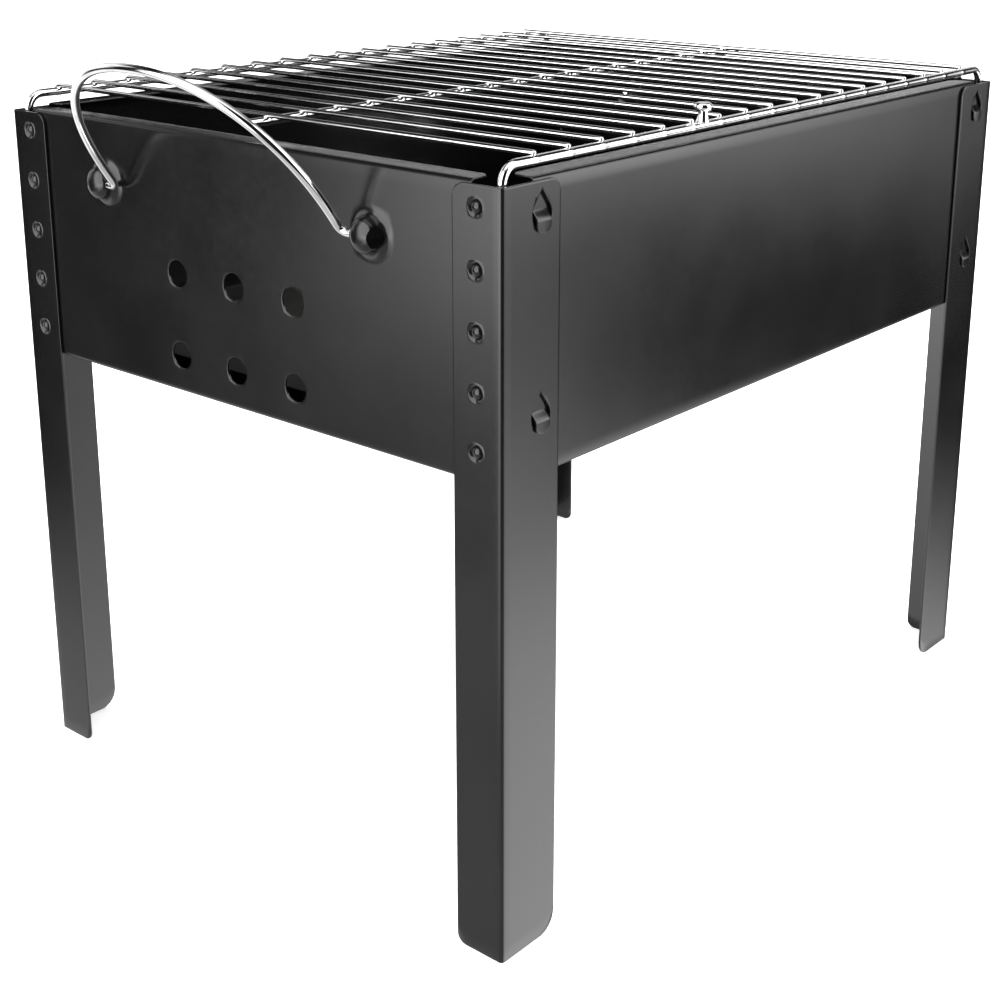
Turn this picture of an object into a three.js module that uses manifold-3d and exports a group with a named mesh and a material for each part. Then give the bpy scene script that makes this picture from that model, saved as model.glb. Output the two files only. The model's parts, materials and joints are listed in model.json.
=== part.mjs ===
// Knock-down charcoal camp grill: a sheet-steel fire box on four angle legs, with a
// lift-off wire grate and a wire bail handle on each end.
//
// Millimetres, +Z up. X is the width, Y the length. The end panels face -Y and +Y, the side
// panels -X and +X. Each piece is placed from the middle of the four feet. The front handle
// stands out over its end and the rear one hangs, so the last lines move the whole grill along
// Y to bring the origin under the middle of all of it.

import * as THREE from 'three';
import { mergeVertices } from 'three/addons/utils/BufferGeometryUtils.js';
import Module from 'manifold-3d';

const wasm = await Module();
wasm.setup();

// ---------------------------------------------------------------- driving dimensions

const bodyWidth = 320; // across the outer faces of the legs
const bodyLength = 420;
const legTop = 341;
const panelTop = 342.5;
const panelHeight = 124;
const fitGap = 0.3; // between pieces that touch

const legSheet = 1.2;
const legBendRadius = 2;
const sideFlange = 35.5; // leg flange that lies on the long side
const endFlange = 26; // leg flange that lies on the end
const footRadius = 10; // rounded lower corner of the side flange
const footEndRadius = 5;
const legTopRadius = 6;

const panelSheet = 1;
const panelBendRadius = 2;
const ledgeWidth = 12.5; // inward fold along the top of every panel
const ledgeEndRadius = 6;
const cornerNotch = 4; // the top corners of a panel's sheet, past its upper fold, below the panel's top
const trayShelfWidth = 20; // inward fold along the bottom of an end panel
const sideFoldWidth = 12.5; // inward fold along the bottom of a side panel
const endLedgeHalfLength = 143;
const sideLedgeHalfLength = 190;

const rivetCount = 5;
const rivetPitch = 25;
const rivetFirstDrop = 9; // below the top of the leg
const rivetInset = 13.7; // in from the side
const rivetShankRadius = 2;
const rivetHoleRadius = 2.3;
const rivetHeadRadius = 3;
const rivetTailRadius = 2.8;
const dimpleRadius = 4;
const dimpleDepth = 0.7;

const hookInset = { front: 24, rear: 17 }; // from the end of the grill
const windowWidth = 11.8;
const windowHeight = 15.9;
const windowBottomDrops = [19.3, 102]; // below the top of the leg
const hookSheet = 1;
const hookNeckLift = 0.9; // clear of the window's lower edge
const hookNeckDepth = 3.5;
const hookNeckHalf = 2.5;
const hookTongueHalf = 3.5;
const hookOverlap = 1.5; // how far the tongue drops past the window's lower edge

const ventRadius = 6.5;
const ventPitch = 39;
const ventDrops = [66.5, 105.7]; // below the top of the panel

const bossOffset = 88.5; // from the middle of the end panel
const bossDrop = 29.5;
const bossRadius = 10.5;
const bossHeight = 8.2;
const pivotStandoff = 4.2; // from the panel's outer face to the handle's axis

const wireRadius = 2; // rods and handles
const handleHalfWidth = 75;
const handleRise = 79; // from the axis to the middle of the grip
const handleFootBend = 4;
const handleTailEnd = 92;
const handleRoundness = 2.2; // exponent of the grip's superellipse
const handleLean = { front: THREE.MathUtils.degToRad(35), rear: Math.PI }; // the rear one hangs

const rodInset = 5.3; // side rods, in from the sides
const rodPegInset = 6; // bent ends, in from the ends
const rodLift = 5.5; // rod centres above the panels
const rodBendRadius = 8;
const rodPegDrop = 22;
const centreRodHalfLength = 198;

const crossWireRadius = 1.2;
const crossWireCount = 18;
const crossWirePitch = 21.5;
const crossWireFirst = 25; // from the front
const crossWireWrap = THREE.MathUtils.degToRad(125); // round the left rod

const knobFromFront = 141;

const traySheet = 0.8;
const trayHalfWidth = 144.4;
const trayHalfLength = 194;
const trayWall = 10;
const trayCornerRadius = 8;

// ---------------------------------------------------------------- places that follow

const halfWidth = bodyWidth / 2;
const halfLength = bodyLength / 2;
const panelBottom = panelTop - panelHeight;
const panelFace = legSheet + fitGap; // in from the outside of the legs
const endPanelY = halfLength - panelFace;
const sidePanelX = halfWidth - panelFace;
const endPanelHalfWidth = sidePanelX - 0.5;
const sidePanelHalfLength = endPanelY - panelSheet - fitGap;
const rodHeight = panelTop + rodLift;
const wireHeight = rodHeight + wireRadius + fitGap + crossWireRadius;
const rodX = halfWidth - rodInset;

// ---------------------------------------------------------------- finishes

const blackPaint = { color: 0x2b2c2f, roughness: 0.34, metalness: 0.35 };
const trayPaint = { color: 0x1b1b1c, roughness: 0.7, metalness: 0.2 };
const chrome = { color: 0xd9dadc, roughness: 0.14, metalness: 1 };

// ---------------------------------------------------------------- solids and booleans

function toSolid(geometry) {
  const bare = geometry.clone();
  bare.deleteAttribute('normal');
  bare.deleteAttribute('uv');
  const merged = mergeVertices(bare, 1e-4);
  const mesh = new wasm.Mesh({
    numProp: 3,
    vertProperties: new Float32Array(merged.attributes.position.array),
    triVerts: new Uint32Array(merged.index.array),
  });
  return new wasm.Manifold(mesh);
}

function toGeometry(solid) {
  const mesh = solid.getMesh();
  const geometry = new THREE.BufferGeometry();
  geometry.setAttribute('position', new THREE.BufferAttribute(mesh.vertProperties, 3));
  geometry.setIndex(new THREE.BufferAttribute(mesh.triVerts, 1));
  geometry.computeVertexNormals();
  return geometry;
}

function cutAll(base, cutters) {
  return cutters.reduce((solid, cutter) => solid.subtract(toSolid(cutter)), base);
}

// Mirrors a geometry in X, in Y or in both, and keeps its faces pointing out.
function reflected(geometry, signX, signY) {
  const copy = geometry.clone().scale(signX, signY, 1);
  if (signX * signY < 0) {
    const index = copy.index.array;
    for (let i = 0; i < index.length; i += 3) {
      const first = index[i];
      index[i] = index[i + 1];
      index[i + 1] = first;
    }
  }
  copy.computeVertexNormals();
  return copy;
}

function addMesh(group, name, geometry, finish) {
  const mesh = new THREE.Mesh(geometry, new THREE.MeshStandardMaterial(finish));
  mesh.name = name;
  group.add(mesh);
  return mesh;
}

// ---------------------------------------------------------------- extrusions

const axisX = new THREE.Vector3(1, 0, 0);
const axisY = new THREE.Vector3(0, 1, 0);
const axisZ = new THREE.Vector3(0, 0, 1);

function extrude(shape, length, curveSegments) {
  return new THREE.ExtrudeGeometry(shape, { depth: length, bevelEnabled: false, curveSegments });
}

// A shape drawn in X and Y, carried up from z0 to z1.
function extrudeUp(shape, z0, z1, curveSegments = 4) {
  return extrude(shape, z1 - z0, curveSegments).translate(0, 0, z0);
}

// A shape drawn in Y and Z, carried along X from x0 to x1.
function extrudeAcross(shape, x0, x1, curveSegments = 4) {
  const turn = new THREE.Matrix4().makeBasis(axisY, axisZ, axisX);
  return extrude(shape, x1 - x0, curveSegments).applyMatrix4(turn).translate(x0, 0, 0);
}

// A shape drawn in X and Z, carried along Y from y0 to y1.
function extrudeAlong(shape, y0, y1, curveSegments = 4) {
  const turn = new THREE.Matrix4().makeBasis(axisX, axisZ, axisY.clone().negate());
  return extrude(shape, y1 - y0, curveSegments).applyMatrix4(turn).translate(0, y1, 0);
}

function circleShape(x, y, radius) {
  const shape = new THREE.Shape();
  shape.absarc(x, y, radius, 0, 2 * Math.PI, false);
  return shape;
}

// ---------------------------------------------------------------- wires

// A wire's centre line through a list of stations, with one section at each station.
class StationCurve extends THREE.Curve {
  constructor(stations) {
    super();
    this.stations = stations;
  }

  getPoint(t, target = new THREE.Vector3()) {
    const last = this.stations.length - 1;
    const place = Math.min(Math.max(t, 0), 1) * last;
    const start = Math.min(Math.floor(place), last - 1);
    return target.lerpVectors(this.stations[start], this.stations[start + 1], place - start);
  }

  getPointAt(u, target) {
    return this.getPoint(u, target);
  }

  getTangentAt(u, target = new THREE.Vector3()) {
    const last = this.stations.length - 1;
    const here = Math.round(u * last);
    const before = this.stations[Math.max(here - 1, 0)];
    const after = this.stations[Math.min(here + 1, last)];
    return target.subVectors(after, before).normalize();
  }
}

function wireAlong(stations, radius, sides) {
  return new THREE.ExtrudeGeometry(circleShape(0, 0, radius), {
    steps: stations.length - 1,
    curveSegments: sides / 2,
    extrudePath: new StationCurve(stations),
  });
}

// Stations round an arc from one angle to another, by a function that places an angle.
function arcStations(from, to, count, place) {
  return Array.from({ length: count + 1 }, (_, i) => place(from + ((to - from) * i) / count));
}

// ---------------------------------------------------------------- legs

// The teardrop window of a leg: a round lower end and a pointed top, in Y and Z.
function windowShape(y, bottom) {
  const radius = windowWidth / 2;
  const rise = windowHeight - radius;
  const spread = Math.acos(radius / rise);
  const centreZ = bottom + radius;
  const shape = new THREE.Shape();
  shape.moveTo(y, bottom + windowHeight);
  shape.absarc(y, centreZ, radius, Math.PI / 2 - spread, -1.5 * Math.PI + spread, true);
  shape.closePath();
  return shape;
}

// The outline of one leg flange, from the corner outward, with its free corners rounded.
function flangeOutline(width, topRadius, bottomRadius) {
  const shape = new THREE.Shape();
  shape.moveTo(-1, 0);
  shape.lineTo(width - bottomRadius, 0);
  shape.absarc(width - bottomRadius, bottomRadius, bottomRadius, -Math.PI / 2, 0, false);
  shape.lineTo(width, legTop - topRadius);
  shape.absarc(width - topRadius, legTop - topRadius, topRadius, 0, Math.PI / 2, false);
  shape.lineTo(-1, legTop);
  shape.closePath();
  return shape;
}

// The angle section, with its corner at the origin and its flanges along +X and +Y.
function angleSection() {
  const outer = legBendRadius;
  const inner = legBendRadius - legSheet;
  const shape = new THREE.Shape();
  shape.moveTo(endFlange, 0);
  shape.lineTo(endFlange, legSheet);
  shape.lineTo(outer, legSheet);
  shape.absarc(outer, outer, inner, -Math.PI / 2, -Math.PI, true);
  shape.lineTo(legSheet, sideFlange);
  shape.lineTo(0, sideFlange);
  shape.lineTo(0, outer);
  shape.absarc(outer, outer, outer, Math.PI, 1.5 * Math.PI, false);
  shape.closePath();
  return shape;
}

function rivetHeights() {
  return Array.from({ length: rivetCount }, (_, i) => legTop - rivetFirstDrop - i * rivetPitch);
}

// A conical dimple with a through hole, seen from the outside of the end flange.
function dimpleCutter(x, z) {
  const profile = [
    new THREE.Vector2(0, -1),
    new THREE.Vector2(dimpleRadius + 1, -1),
    new THREE.Vector2(dimpleRadius, 0),
    new THREE.Vector2(rivetHeadRadius + 0.3, dimpleDepth),
    new THREE.Vector2(rivetHoleRadius, dimpleDepth),
    new THREE.Vector2(rivetHoleRadius, legSheet + 1),
    new THREE.Vector2(0, legSheet + 1),
  ];
  return new THREE.LatheGeometry(profile, 10).translate(x, 0, z);
}

function legGeometry(inset) {
  const bar = toSolid(extrudeUp(angleSection(), 0, legTop));
  const sideCut = extrudeAcross(flangeOutline(sideFlange, legTopRadius, footRadius), -1, endFlange + 1);
  const endCut = extrudeAlong(flangeOutline(endFlange, legTopRadius, footEndRadius), -1, sideFlange + 1);
  const trimmed = bar.intersect(toSolid(sideCut)).intersect(toSolid(endCut));
  const windows = windowBottomDrops.map((drop) =>
    extrudeAcross(windowShape(inset, legTop - drop), -1, legBendRadius + 1, 6)
  );
  const dimples = rivetHeights().map((z) => dimpleCutter(rivetInset, z));
  return toGeometry(cutAll(trimmed, [...windows, ...dimples]));
}

function addLegs(group) {
  for (const [end, signY] of [['front', -1], ['rear', 1]]) {
    for (const [side, signX] of [['left', -1], ['right', 1]]) {
      const geometry = reflected(legGeometry(hookInset[end]), -signX, -signY);
      const leg = addMesh(group, `leg_${end}_${side}`, geometry, blackPaint);
      leg.position.set(signX * halfWidth, signY * halfLength, 0);
    }
  }
}

// ---------------------------------------------------------------- folded panels

// A channel section in Y and Z: the outer face at y = 0, and both folds toward +Y.
function channelSection(topWidth, bottomWidth) {
  const outer = panelBendRadius;
  const inner = panelBendRadius - panelSheet;
  const low = panelBottom;
  const high = panelTop;
  const shape = new THREE.Shape();
  shape.moveTo(bottomWidth, low);
  shape.lineTo(bottomWidth, low + panelSheet);
  shape.lineTo(outer, low + panelSheet);
  shape.absarc(outer, low + outer, inner, -Math.PI / 2, -Math.PI, true);
  shape.lineTo(panelSheet, high - outer);
  shape.absarc(outer, high - outer, inner, Math.PI, Math.PI / 2, true);
  shape.lineTo(topWidth, high - panelSheet);
  shape.lineTo(topWidth, high);
  shape.lineTo(outer, high);
  shape.absarc(outer, high - outer, outer, Math.PI / 2, Math.PI, false);
  shape.lineTo(0, low + outer);
  shape.absarc(outer, low + outer, outer, Math.PI, 1.5 * Math.PI, false);
  shape.closePath();
  return shape;
}

// Plan of what is cut away past the end of a fold, which leaves the fold a round corner.
function foldEndCut(halfLengthOfFold, foldWidth, radius) {
  const beyond = halfLength;
  const shape = new THREE.Shape();
  shape.moveTo(halfLengthOfFold - radius, foldWidth + 1);
  shape.lineTo(halfLengthOfFold - radius, foldWidth);
  shape.absarc(halfLengthOfFold - radius, foldWidth - radius, radius, Math.PI / 2, 0, true);
  shape.lineTo(halfLengthOfFold, panelSheet);
  shape.lineTo(beyond, panelSheet);
  shape.lineTo(beyond, foldWidth + 1);
  shape.closePath();
  return shape;
}

function foldEndCutters(halfLengthOfFold, foldWidth, z0, z1) {
  const cut = extrudeUp(foldEndCut(halfLengthOfFold, foldWidth, ledgeEndRadius), z0, z1);
  return [cut, reflected(indexed(cut), -1, 1)];
}

// What lowers the sheet itself past both ends of its upper fold.
function notchCutters(halfLengthOfFold) {
  const width = halfLength - halfLengthOfFold;
  const height = cornerNotch + 1;
  const box = new THREE.BoxGeometry(width, 2 * bossHeight, height);
  const z = panelTop - cornerNotch + height / 2;
  return [-1, 1].map((sign) => box.clone().translate(sign * (halfLengthOfFold + width / 2), 0, z));
}

function indexed(geometry) {
  const bare = geometry.clone();
  bare.deleteAttribute('normal');
  bare.deleteAttribute('uv');
  return mergeVertices(bare, 1e-4);
}

// The pressed-out boss that a handle's end sits in, turned about the Y axis.
function bossSolid(x, z, shrink) {
  const radius = bossRadius - shrink;
  const height = bossHeight - shrink;
  const back = shrink > 0 ? panelSheet + 0.5 : panelSheet / 2;
  const profile = [
    new THREE.Vector2(0, -height),
    new THREE.Vector2(0.5 * radius, -0.95 * height),
    new THREE.Vector2(0.82 * radius, -0.7 * height),
    new THREE.Vector2(0.96 * radius, -0.33 * height),
    new THREE.Vector2(radius, 0),
    new THREE.Vector2(radius, back),
    new THREE.Vector2(0, back),
  ];
  return new THREE.LatheGeometry(profile, 16).translate(x, 0, z);
}

function bossOpening(x, z) {
  const shape = new THREE.Shape();
  shape.absellipse(-pivotStandoff, z, 2.9, 5, 0, 2 * Math.PI, false, 0);
  return extrudeAcross(shape, x - bossRadius - 2, x + bossRadius + 2, 6);
}

// An end panel with its outer face at y = 0, facing -Y.
function endPanelGeometry() {
  const section = channelSection(ledgeWidth, trayShelfWidth);
  const pivotZ = panelTop - bossDrop;
  let panel = toSolid(extrudeAcross(section, -endPanelHalfWidth, endPanelHalfWidth));
  const openings = [];
  for (const sign of [-1, 1]) {
    panel = panel.add(toSolid(bossSolid(sign * bossOffset, pivotZ, 0)));
    openings.push(bossSolid(sign * bossOffset, pivotZ, panelSheet));
    openings.push(bossOpening(sign * bossOffset, pivotZ));
    for (const z of rivetHeights()) {
      const hole = circleShape(sign * (halfWidth - rivetInset), z, rivetHoleRadius);
      openings.push(extrudeAlong(hole, -1, panelSheet + 1, 4));
    }
  }
  for (const drop of ventDrops) {
    for (const column of [-1, 0, 1]) {
      const vent = circleShape(column * ventPitch, panelTop - drop, ventRadius);
      openings.push(extrudeAlong(vent, -1, panelSheet + 1, 8));
    }
  }
  const above = foldEndCutters(endLedgeHalfLength, ledgeWidth, panelTop - panelBendRadius - 1, panelTop + 1);
  const below = foldEndCutters(endLedgeHalfLength, trayShelfWidth, panelBottom - 1, panelBottom + 3);
  const notches = notchCutters(endLedgeHalfLength);
  return toGeometry(cutAll(panel, [...openings, ...above, ...below, ...notches]));
}

function addEndPanels(group) {
  const geometry = endPanelGeometry();
  for (const [name, signY] of [['end_panel_front', -1], ['end_panel_rear', 1]]) {
    const panel = addMesh(group, name, geometry.clone(), blackPaint);
    panel.position.set(0, signY * endPanelY, 0);
    panel.rotation.z = signY > 0 ? Math.PI : 0;
  }
}

// A hook of a side panel in Y and Z: a tongue with a round lower end.
function tongueShape(y, bottom, top, half) {
  const shape = new THREE.Shape();
  shape.moveTo(y + half, top);
  shape.lineTo(y - half, top);
  shape.lineTo(y - half, bottom + half);
  shape.absarc(y, bottom + half, half, Math.PI, 2 * Math.PI, false);
  shape.closePath();
  return shape;
}

// The hook starts in the panel's sheet, passes a leg's window and drops outside the leg.
function hookSolids(y, windowBottom) {
  const neckBottom = windowBottom + hookNeckLift;
  const neckTop = neckBottom + hookNeckDepth;
  const tongueBack = -panelFace - fitGap;
  const neck = new THREE.Shape([
    new THREE.Vector2(y - hookNeckHalf, neckBottom),
    new THREE.Vector2(y + hookNeckHalf, neckBottom),
    new THREE.Vector2(y + hookNeckHalf, neckTop),
    new THREE.Vector2(y - hookNeckHalf, neckTop),
  ]);
  const tongue = tongueShape(y, windowBottom - hookOverlap, neckTop, hookTongueHalf);
  return [
    extrudeAcross(neck, tongueBack - hookSheet / 2, panelSheet / 2),
    extrudeAcross(tongue, tongueBack - hookSheet, tongueBack),
  ];
}

// A side panel with its outer face at x = 0, facing -X, and its length along Y.
function sidePanelGeometry() {
  const section = channelSection(ledgeWidth, sideFoldWidth);
  const folded = toSolid(extrudeAcross(section, -sidePanelHalfLength, sidePanelHalfLength));
  const above = foldEndCutters(sideLedgeHalfLength, ledgeWidth, panelTop - panelBendRadius - 1, panelTop + 1);
  const notches = notchCutters(sideLedgeHalfLength);
  const turned = toGeometry(cutAll(folded, [...above, ...notches])).rotateZ(-Math.PI / 2);
  let panel = toSolid(turned);
  for (const y of [-halfLength + hookInset.front, halfLength - hookInset.rear]) {
    for (const drop of windowBottomDrops) {
      for (const piece of hookSolids(y, legTop - drop)) {
        panel = panel.add(toSolid(piece));
      }
    }
  }
  return toGeometry(panel);
}

function addSidePanels(group) {
  const geometry = sidePanelGeometry();
  for (const [name, signX] of [['side_panel_left', -1], ['side_panel_right', 1]]) {
    const panel = addMesh(group, name, reflected(geometry, -signX, 1), blackPaint);
    panel.position.x = signX * sidePanelX;
  }
}

// ---------------------------------------------------------------- rivets

// A domed rivet along Y, its head on the -Y side, with y = 0 at the leg's outer face.
function rivetGeometry() {
  const seat = dimpleDepth - 0.2;
  const back = panelFace + panelSheet + 0.2;
  const profile = [
    new THREE.Vector2(0, -0.6),
    new THREE.Vector2(1.7, -0.35),
    new THREE.Vector2(rivetHeadRadius, seat),
    new THREE.Vector2(rivetShankRadius, seat),
    new THREE.Vector2(rivetShankRadius, back),
    new THREE.Vector2(rivetTailRadius, back),
    new THREE.Vector2(0, back + 0.9),
  ];
  return new THREE.LatheGeometry(profile, 8);
}

function addRivets(group) {
  for (const [end, signY] of [['front', -1], ['rear', 1]]) {
    for (const [side, signX] of [['left', -1], ['right', 1]]) {
      rivetHeights().forEach((z, i) => {
        const rivet = addMesh(group, `rivet_${end}_${side}_${i + 1}`, rivetGeometry(), blackPaint);
        rivet.position.set(signX * (halfWidth - rivetInset), signY * halfLength, z);
        rivet.rotation.z = signY > 0 ? Math.PI : 0;
      });
    }
  }
}

// ---------------------------------------------------------------- charcoal tray

function roundedRectangle(halfX, halfY, radius) {
  const shape = new THREE.Shape();
  shape.absarc(halfX - radius, halfY - radius, radius, 0, Math.PI / 2, false);
  shape.absarc(radius - halfX, halfY - radius, radius, Math.PI / 2, Math.PI, false);
  shape.absarc(radius - halfX, radius - halfY, radius, Math.PI, 1.5 * Math.PI, false);
  shape.absarc(halfX - radius, radius - halfY, radius, 1.5 * Math.PI, 2 * Math.PI, false);
  shape.closePath();
  return shape;
}

function addTray(group) {
  const outline = roundedRectangle(trayHalfWidth, trayHalfLength, trayCornerRadius);
  const hollow = roundedRectangle(
    trayHalfWidth - traySheet,
    trayHalfLength - traySheet,
    trayCornerRadius - traySheet
  );
  const pan = toSolid(extrudeUp(outline, 0, trayWall));
  const geometry = toGeometry(cutAll(pan, [extrudeUp(hollow, traySheet, trayWall + 1)]));
  const tray = addMesh(group, 'charcoal_tray', geometry, trayPaint);
  tray.position.z = panelBottom + panelSheet + fitGap;
}

// ---------------------------------------------------------------- handles

// The bail in its own plane: X across, Z up from the pivot axis.
function handleStations() {
  const grip = (angle) => {
    const across = Math.sign(Math.cos(angle)) * Math.abs(Math.cos(angle)) ** (2 / handleRoundness);
    const up = Math.abs(Math.sin(angle)) ** (2 / handleRoundness);
    const rise = handleRise - handleFootBend;
    return new THREE.Vector3(handleHalfWidth * across, 0, handleFootBend + rise * up);
  };
  const foot = (angle) =>
    new THREE.Vector3(
      handleHalfWidth + handleFootBend * (1 + Math.cos(angle)),
      0,
      handleFootBend * (1 + Math.sin(angle))
    );
  const right = [
    new THREE.Vector3(handleTailEnd, 0, 0),
    ...arcStations(-Math.PI / 2, -Math.PI, 4, foot),
  ];
  const arch = arcStations(0, Math.PI, 24, grip).slice(1, -1);
  const left = right.map((point) => point.clone().setX(-point.x)).reverse();
  return [...right, ...arch, ...left];
}

function addHandles(group) {
  for (const [end, signY] of [['front', -1], ['rear', 1]]) {
    const handle = addMesh(group, `handle_${end}`, wireAlong(handleStations(), wireRadius, 8), chrome);
    handle.position.set(0, signY * (endPanelY + pivotStandoff), panelTop - bossDrop);
    handle.rotation.x = -signY * handleLean[end];
  }
}

// ---------------------------------------------------------------- grate

// A side rod: straight along Y, and bent down into a peg at each end.
function sideRodStations() {
  const reach = halfLength - rodPegInset;
  const bend = (angle) =>
    new THREE.Vector3(
      0,
      reach - rodBendRadius * (1 - Math.cos(angle)),
      rodBendRadius * (Math.sin(angle) - 1)
    );
  const rear = [new THREE.Vector3(0, reach, -rodPegDrop), ...arcStations(0, Math.PI / 2, 5, bend)];
  const front = rear.map((point) => point.clone().setY(-point.y)).reverse();
  return [...rear, ...front];
}

// A cross wire: straight along X, and wrapped round the left rod at its far end.
function crossWireStations() {
  const wrapRadius = wireRadius + fitGap + crossWireRadius;
  const wrap = (angle) =>
    new THREE.Vector3(
      -rodX + wrapRadius * Math.cos(angle),
      0,
      rodHeight - wireHeight + wrapRadius * Math.sin(angle)
    );
  return [
    new THREE.Vector3(rodX + 1, 0, 0),
    ...arcStations(Math.PI / 2, Math.PI / 2 + crossWireWrap, 5, wrap),
  ];
}

function knobGeometry() {
  const profile = [
    new THREE.Vector2(0, 0),
    new THREE.Vector2(2.2, 0),
    new THREE.Vector2(1.6, 1),
    new THREE.Vector2(1.5, 3.6),
    new THREE.Vector2(4.2, 4.6),
    new THREE.Vector2(4.2, 5.6),
    new THREE.Vector2(3, 7.2),
    new THREE.Vector2(0, 7.8),
  ];
  return new THREE.LatheGeometry(profile, 12).rotateX(Math.PI / 2);
}

function addGrate(group) {
  for (const [name, signX] of [['grate_rod_left', -1], ['grate_rod_right', 1]]) {
    const rod = addMesh(group, name, wireAlong(sideRodStations(), wireRadius, 8), chrome);
    rod.position.set(signX * rodX, 0, rodHeight);
  }
  const centre = [
    new THREE.Vector3(0, centreRodHalfLength, 0),
    new THREE.Vector3(0, -centreRodHalfLength, 0),
  ];
  addMesh(group, 'grate_rod_centre', wireAlong(centre, wireRadius, 8), chrome).position.z = rodHeight;
  for (let i = 0; i < crossWireCount; i += 1) {
    const name = `grate_wire_${String(i + 1).padStart(2, '0')}`;
    const wire = addMesh(group, name, wireAlong(crossWireStations(), crossWireRadius, 6), chrome);
    wire.position.set(0, -halfLength + crossWireFirst + i * crossWirePitch, wireHeight);
  }
  const knob = addMesh(group, 'grate_knob', knobGeometry(), chrome);
  knob.position.set(rodX, -halfLength + knobFromFront, rodHeight + wireRadius + fitGap);
}

// ---------------------------------------------------------------- the grill

const grill = new THREE.Group();
addLegs(grill);
addEndPanels(grill);
addSidePanels(grill);
addRivets(grill);
addTray(grill);
addHandles(grill);
addGrate(grill);

const extent = new THREE.Box3().setFromObject(grill, true);
grill.position.y = -(extent.min.y + extent.max.y) / 2;

export default grill;
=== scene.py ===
"""Looks of a knock-down charcoal camp grill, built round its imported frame.

Shapes are worked out in millimetres, in the frame's own axes, and become metres when a
mesh is made. Every piece is a grid worked out as whole arrays, or a profile carried along a path.
"""

import json
import logging
import math
from dataclasses import dataclass
from enum import Enum
from typing import Callable, Optional, Sequence, Union

import bpy
import numpy as np
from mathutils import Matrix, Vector


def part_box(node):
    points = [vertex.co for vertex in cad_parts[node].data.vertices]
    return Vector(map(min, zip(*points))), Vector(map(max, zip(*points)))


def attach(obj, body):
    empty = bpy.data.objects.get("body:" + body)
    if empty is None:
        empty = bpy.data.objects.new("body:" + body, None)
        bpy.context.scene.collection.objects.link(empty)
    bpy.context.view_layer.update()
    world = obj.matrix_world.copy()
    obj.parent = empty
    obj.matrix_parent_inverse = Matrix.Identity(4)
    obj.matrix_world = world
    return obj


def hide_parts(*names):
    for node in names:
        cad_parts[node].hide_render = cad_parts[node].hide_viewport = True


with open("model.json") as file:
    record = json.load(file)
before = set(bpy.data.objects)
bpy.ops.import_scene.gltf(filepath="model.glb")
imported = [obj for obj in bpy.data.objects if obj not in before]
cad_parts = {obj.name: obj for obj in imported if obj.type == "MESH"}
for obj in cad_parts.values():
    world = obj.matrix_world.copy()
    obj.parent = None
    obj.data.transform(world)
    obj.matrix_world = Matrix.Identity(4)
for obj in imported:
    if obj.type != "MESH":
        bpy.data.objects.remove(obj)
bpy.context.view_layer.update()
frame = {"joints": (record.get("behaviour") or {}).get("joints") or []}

MM = 0.001
QUARTER = math.pi / 2
CLOSEST_LINES = 0.32  # in millimetres, between the lines of a sheet's grid

log = logging.getLogger("camp_grill")


class Slot(Enum):
    """The record's material slots."""

    BLACK_PAINT = "black_paint"
    RIVET_PAINT = "rivet_paint"
    TRAY_PAINT = "tray_paint"
    CHROME = "chrome"


class End(Enum):
    """The two ends of the grill, as signs of Y."""

    FRONT = -1
    REAR = 1


class Side(Enum):
    """The two long sides of the grill, as signs of X."""

    LEFT = -1
    RIGHT = 1


# ---------------------------------------------------------------- places in the frame


def body_middle() -> np.ndarray:
    """The point on the floor midway between the legs, in millimetres: the sheets are drawn round it."""
    low, high = (np.array(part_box(f"leg_{end.name.lower()}_left")[i]) for i, end in enumerate(End))
    return np.array([0.0, (low[1] + high[1]) / 2 / MM, 0.0])


BODY_MIDDLE = body_middle()


def box_mm(node: str) -> tuple[np.ndarray, np.ndarray]:
    """The lowest and highest corner of a CAD node, in millimetres from the body's middle."""
    low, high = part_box(node)
    return np.array(low) / MM - BODY_MIDDLE, np.array(high) / MM - BODY_MIDDLE


def middle_mm(node: str) -> np.ndarray:
    """The middle of a CAD node's box, in millimetres."""
    low, high = box_mm(node)
    return (low + high) / 2


def joint_mm(name: str) -> np.ndarray:
    """The place of a joint, in millimetres from the body's middle."""
    place = next(joint["pos_m"] for joint in frame["joints"] if joint["name"] == name)
    return np.array(place) / MM - BODY_MIDDLE


# ---------------------------------------------------------------- surfaces


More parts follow.
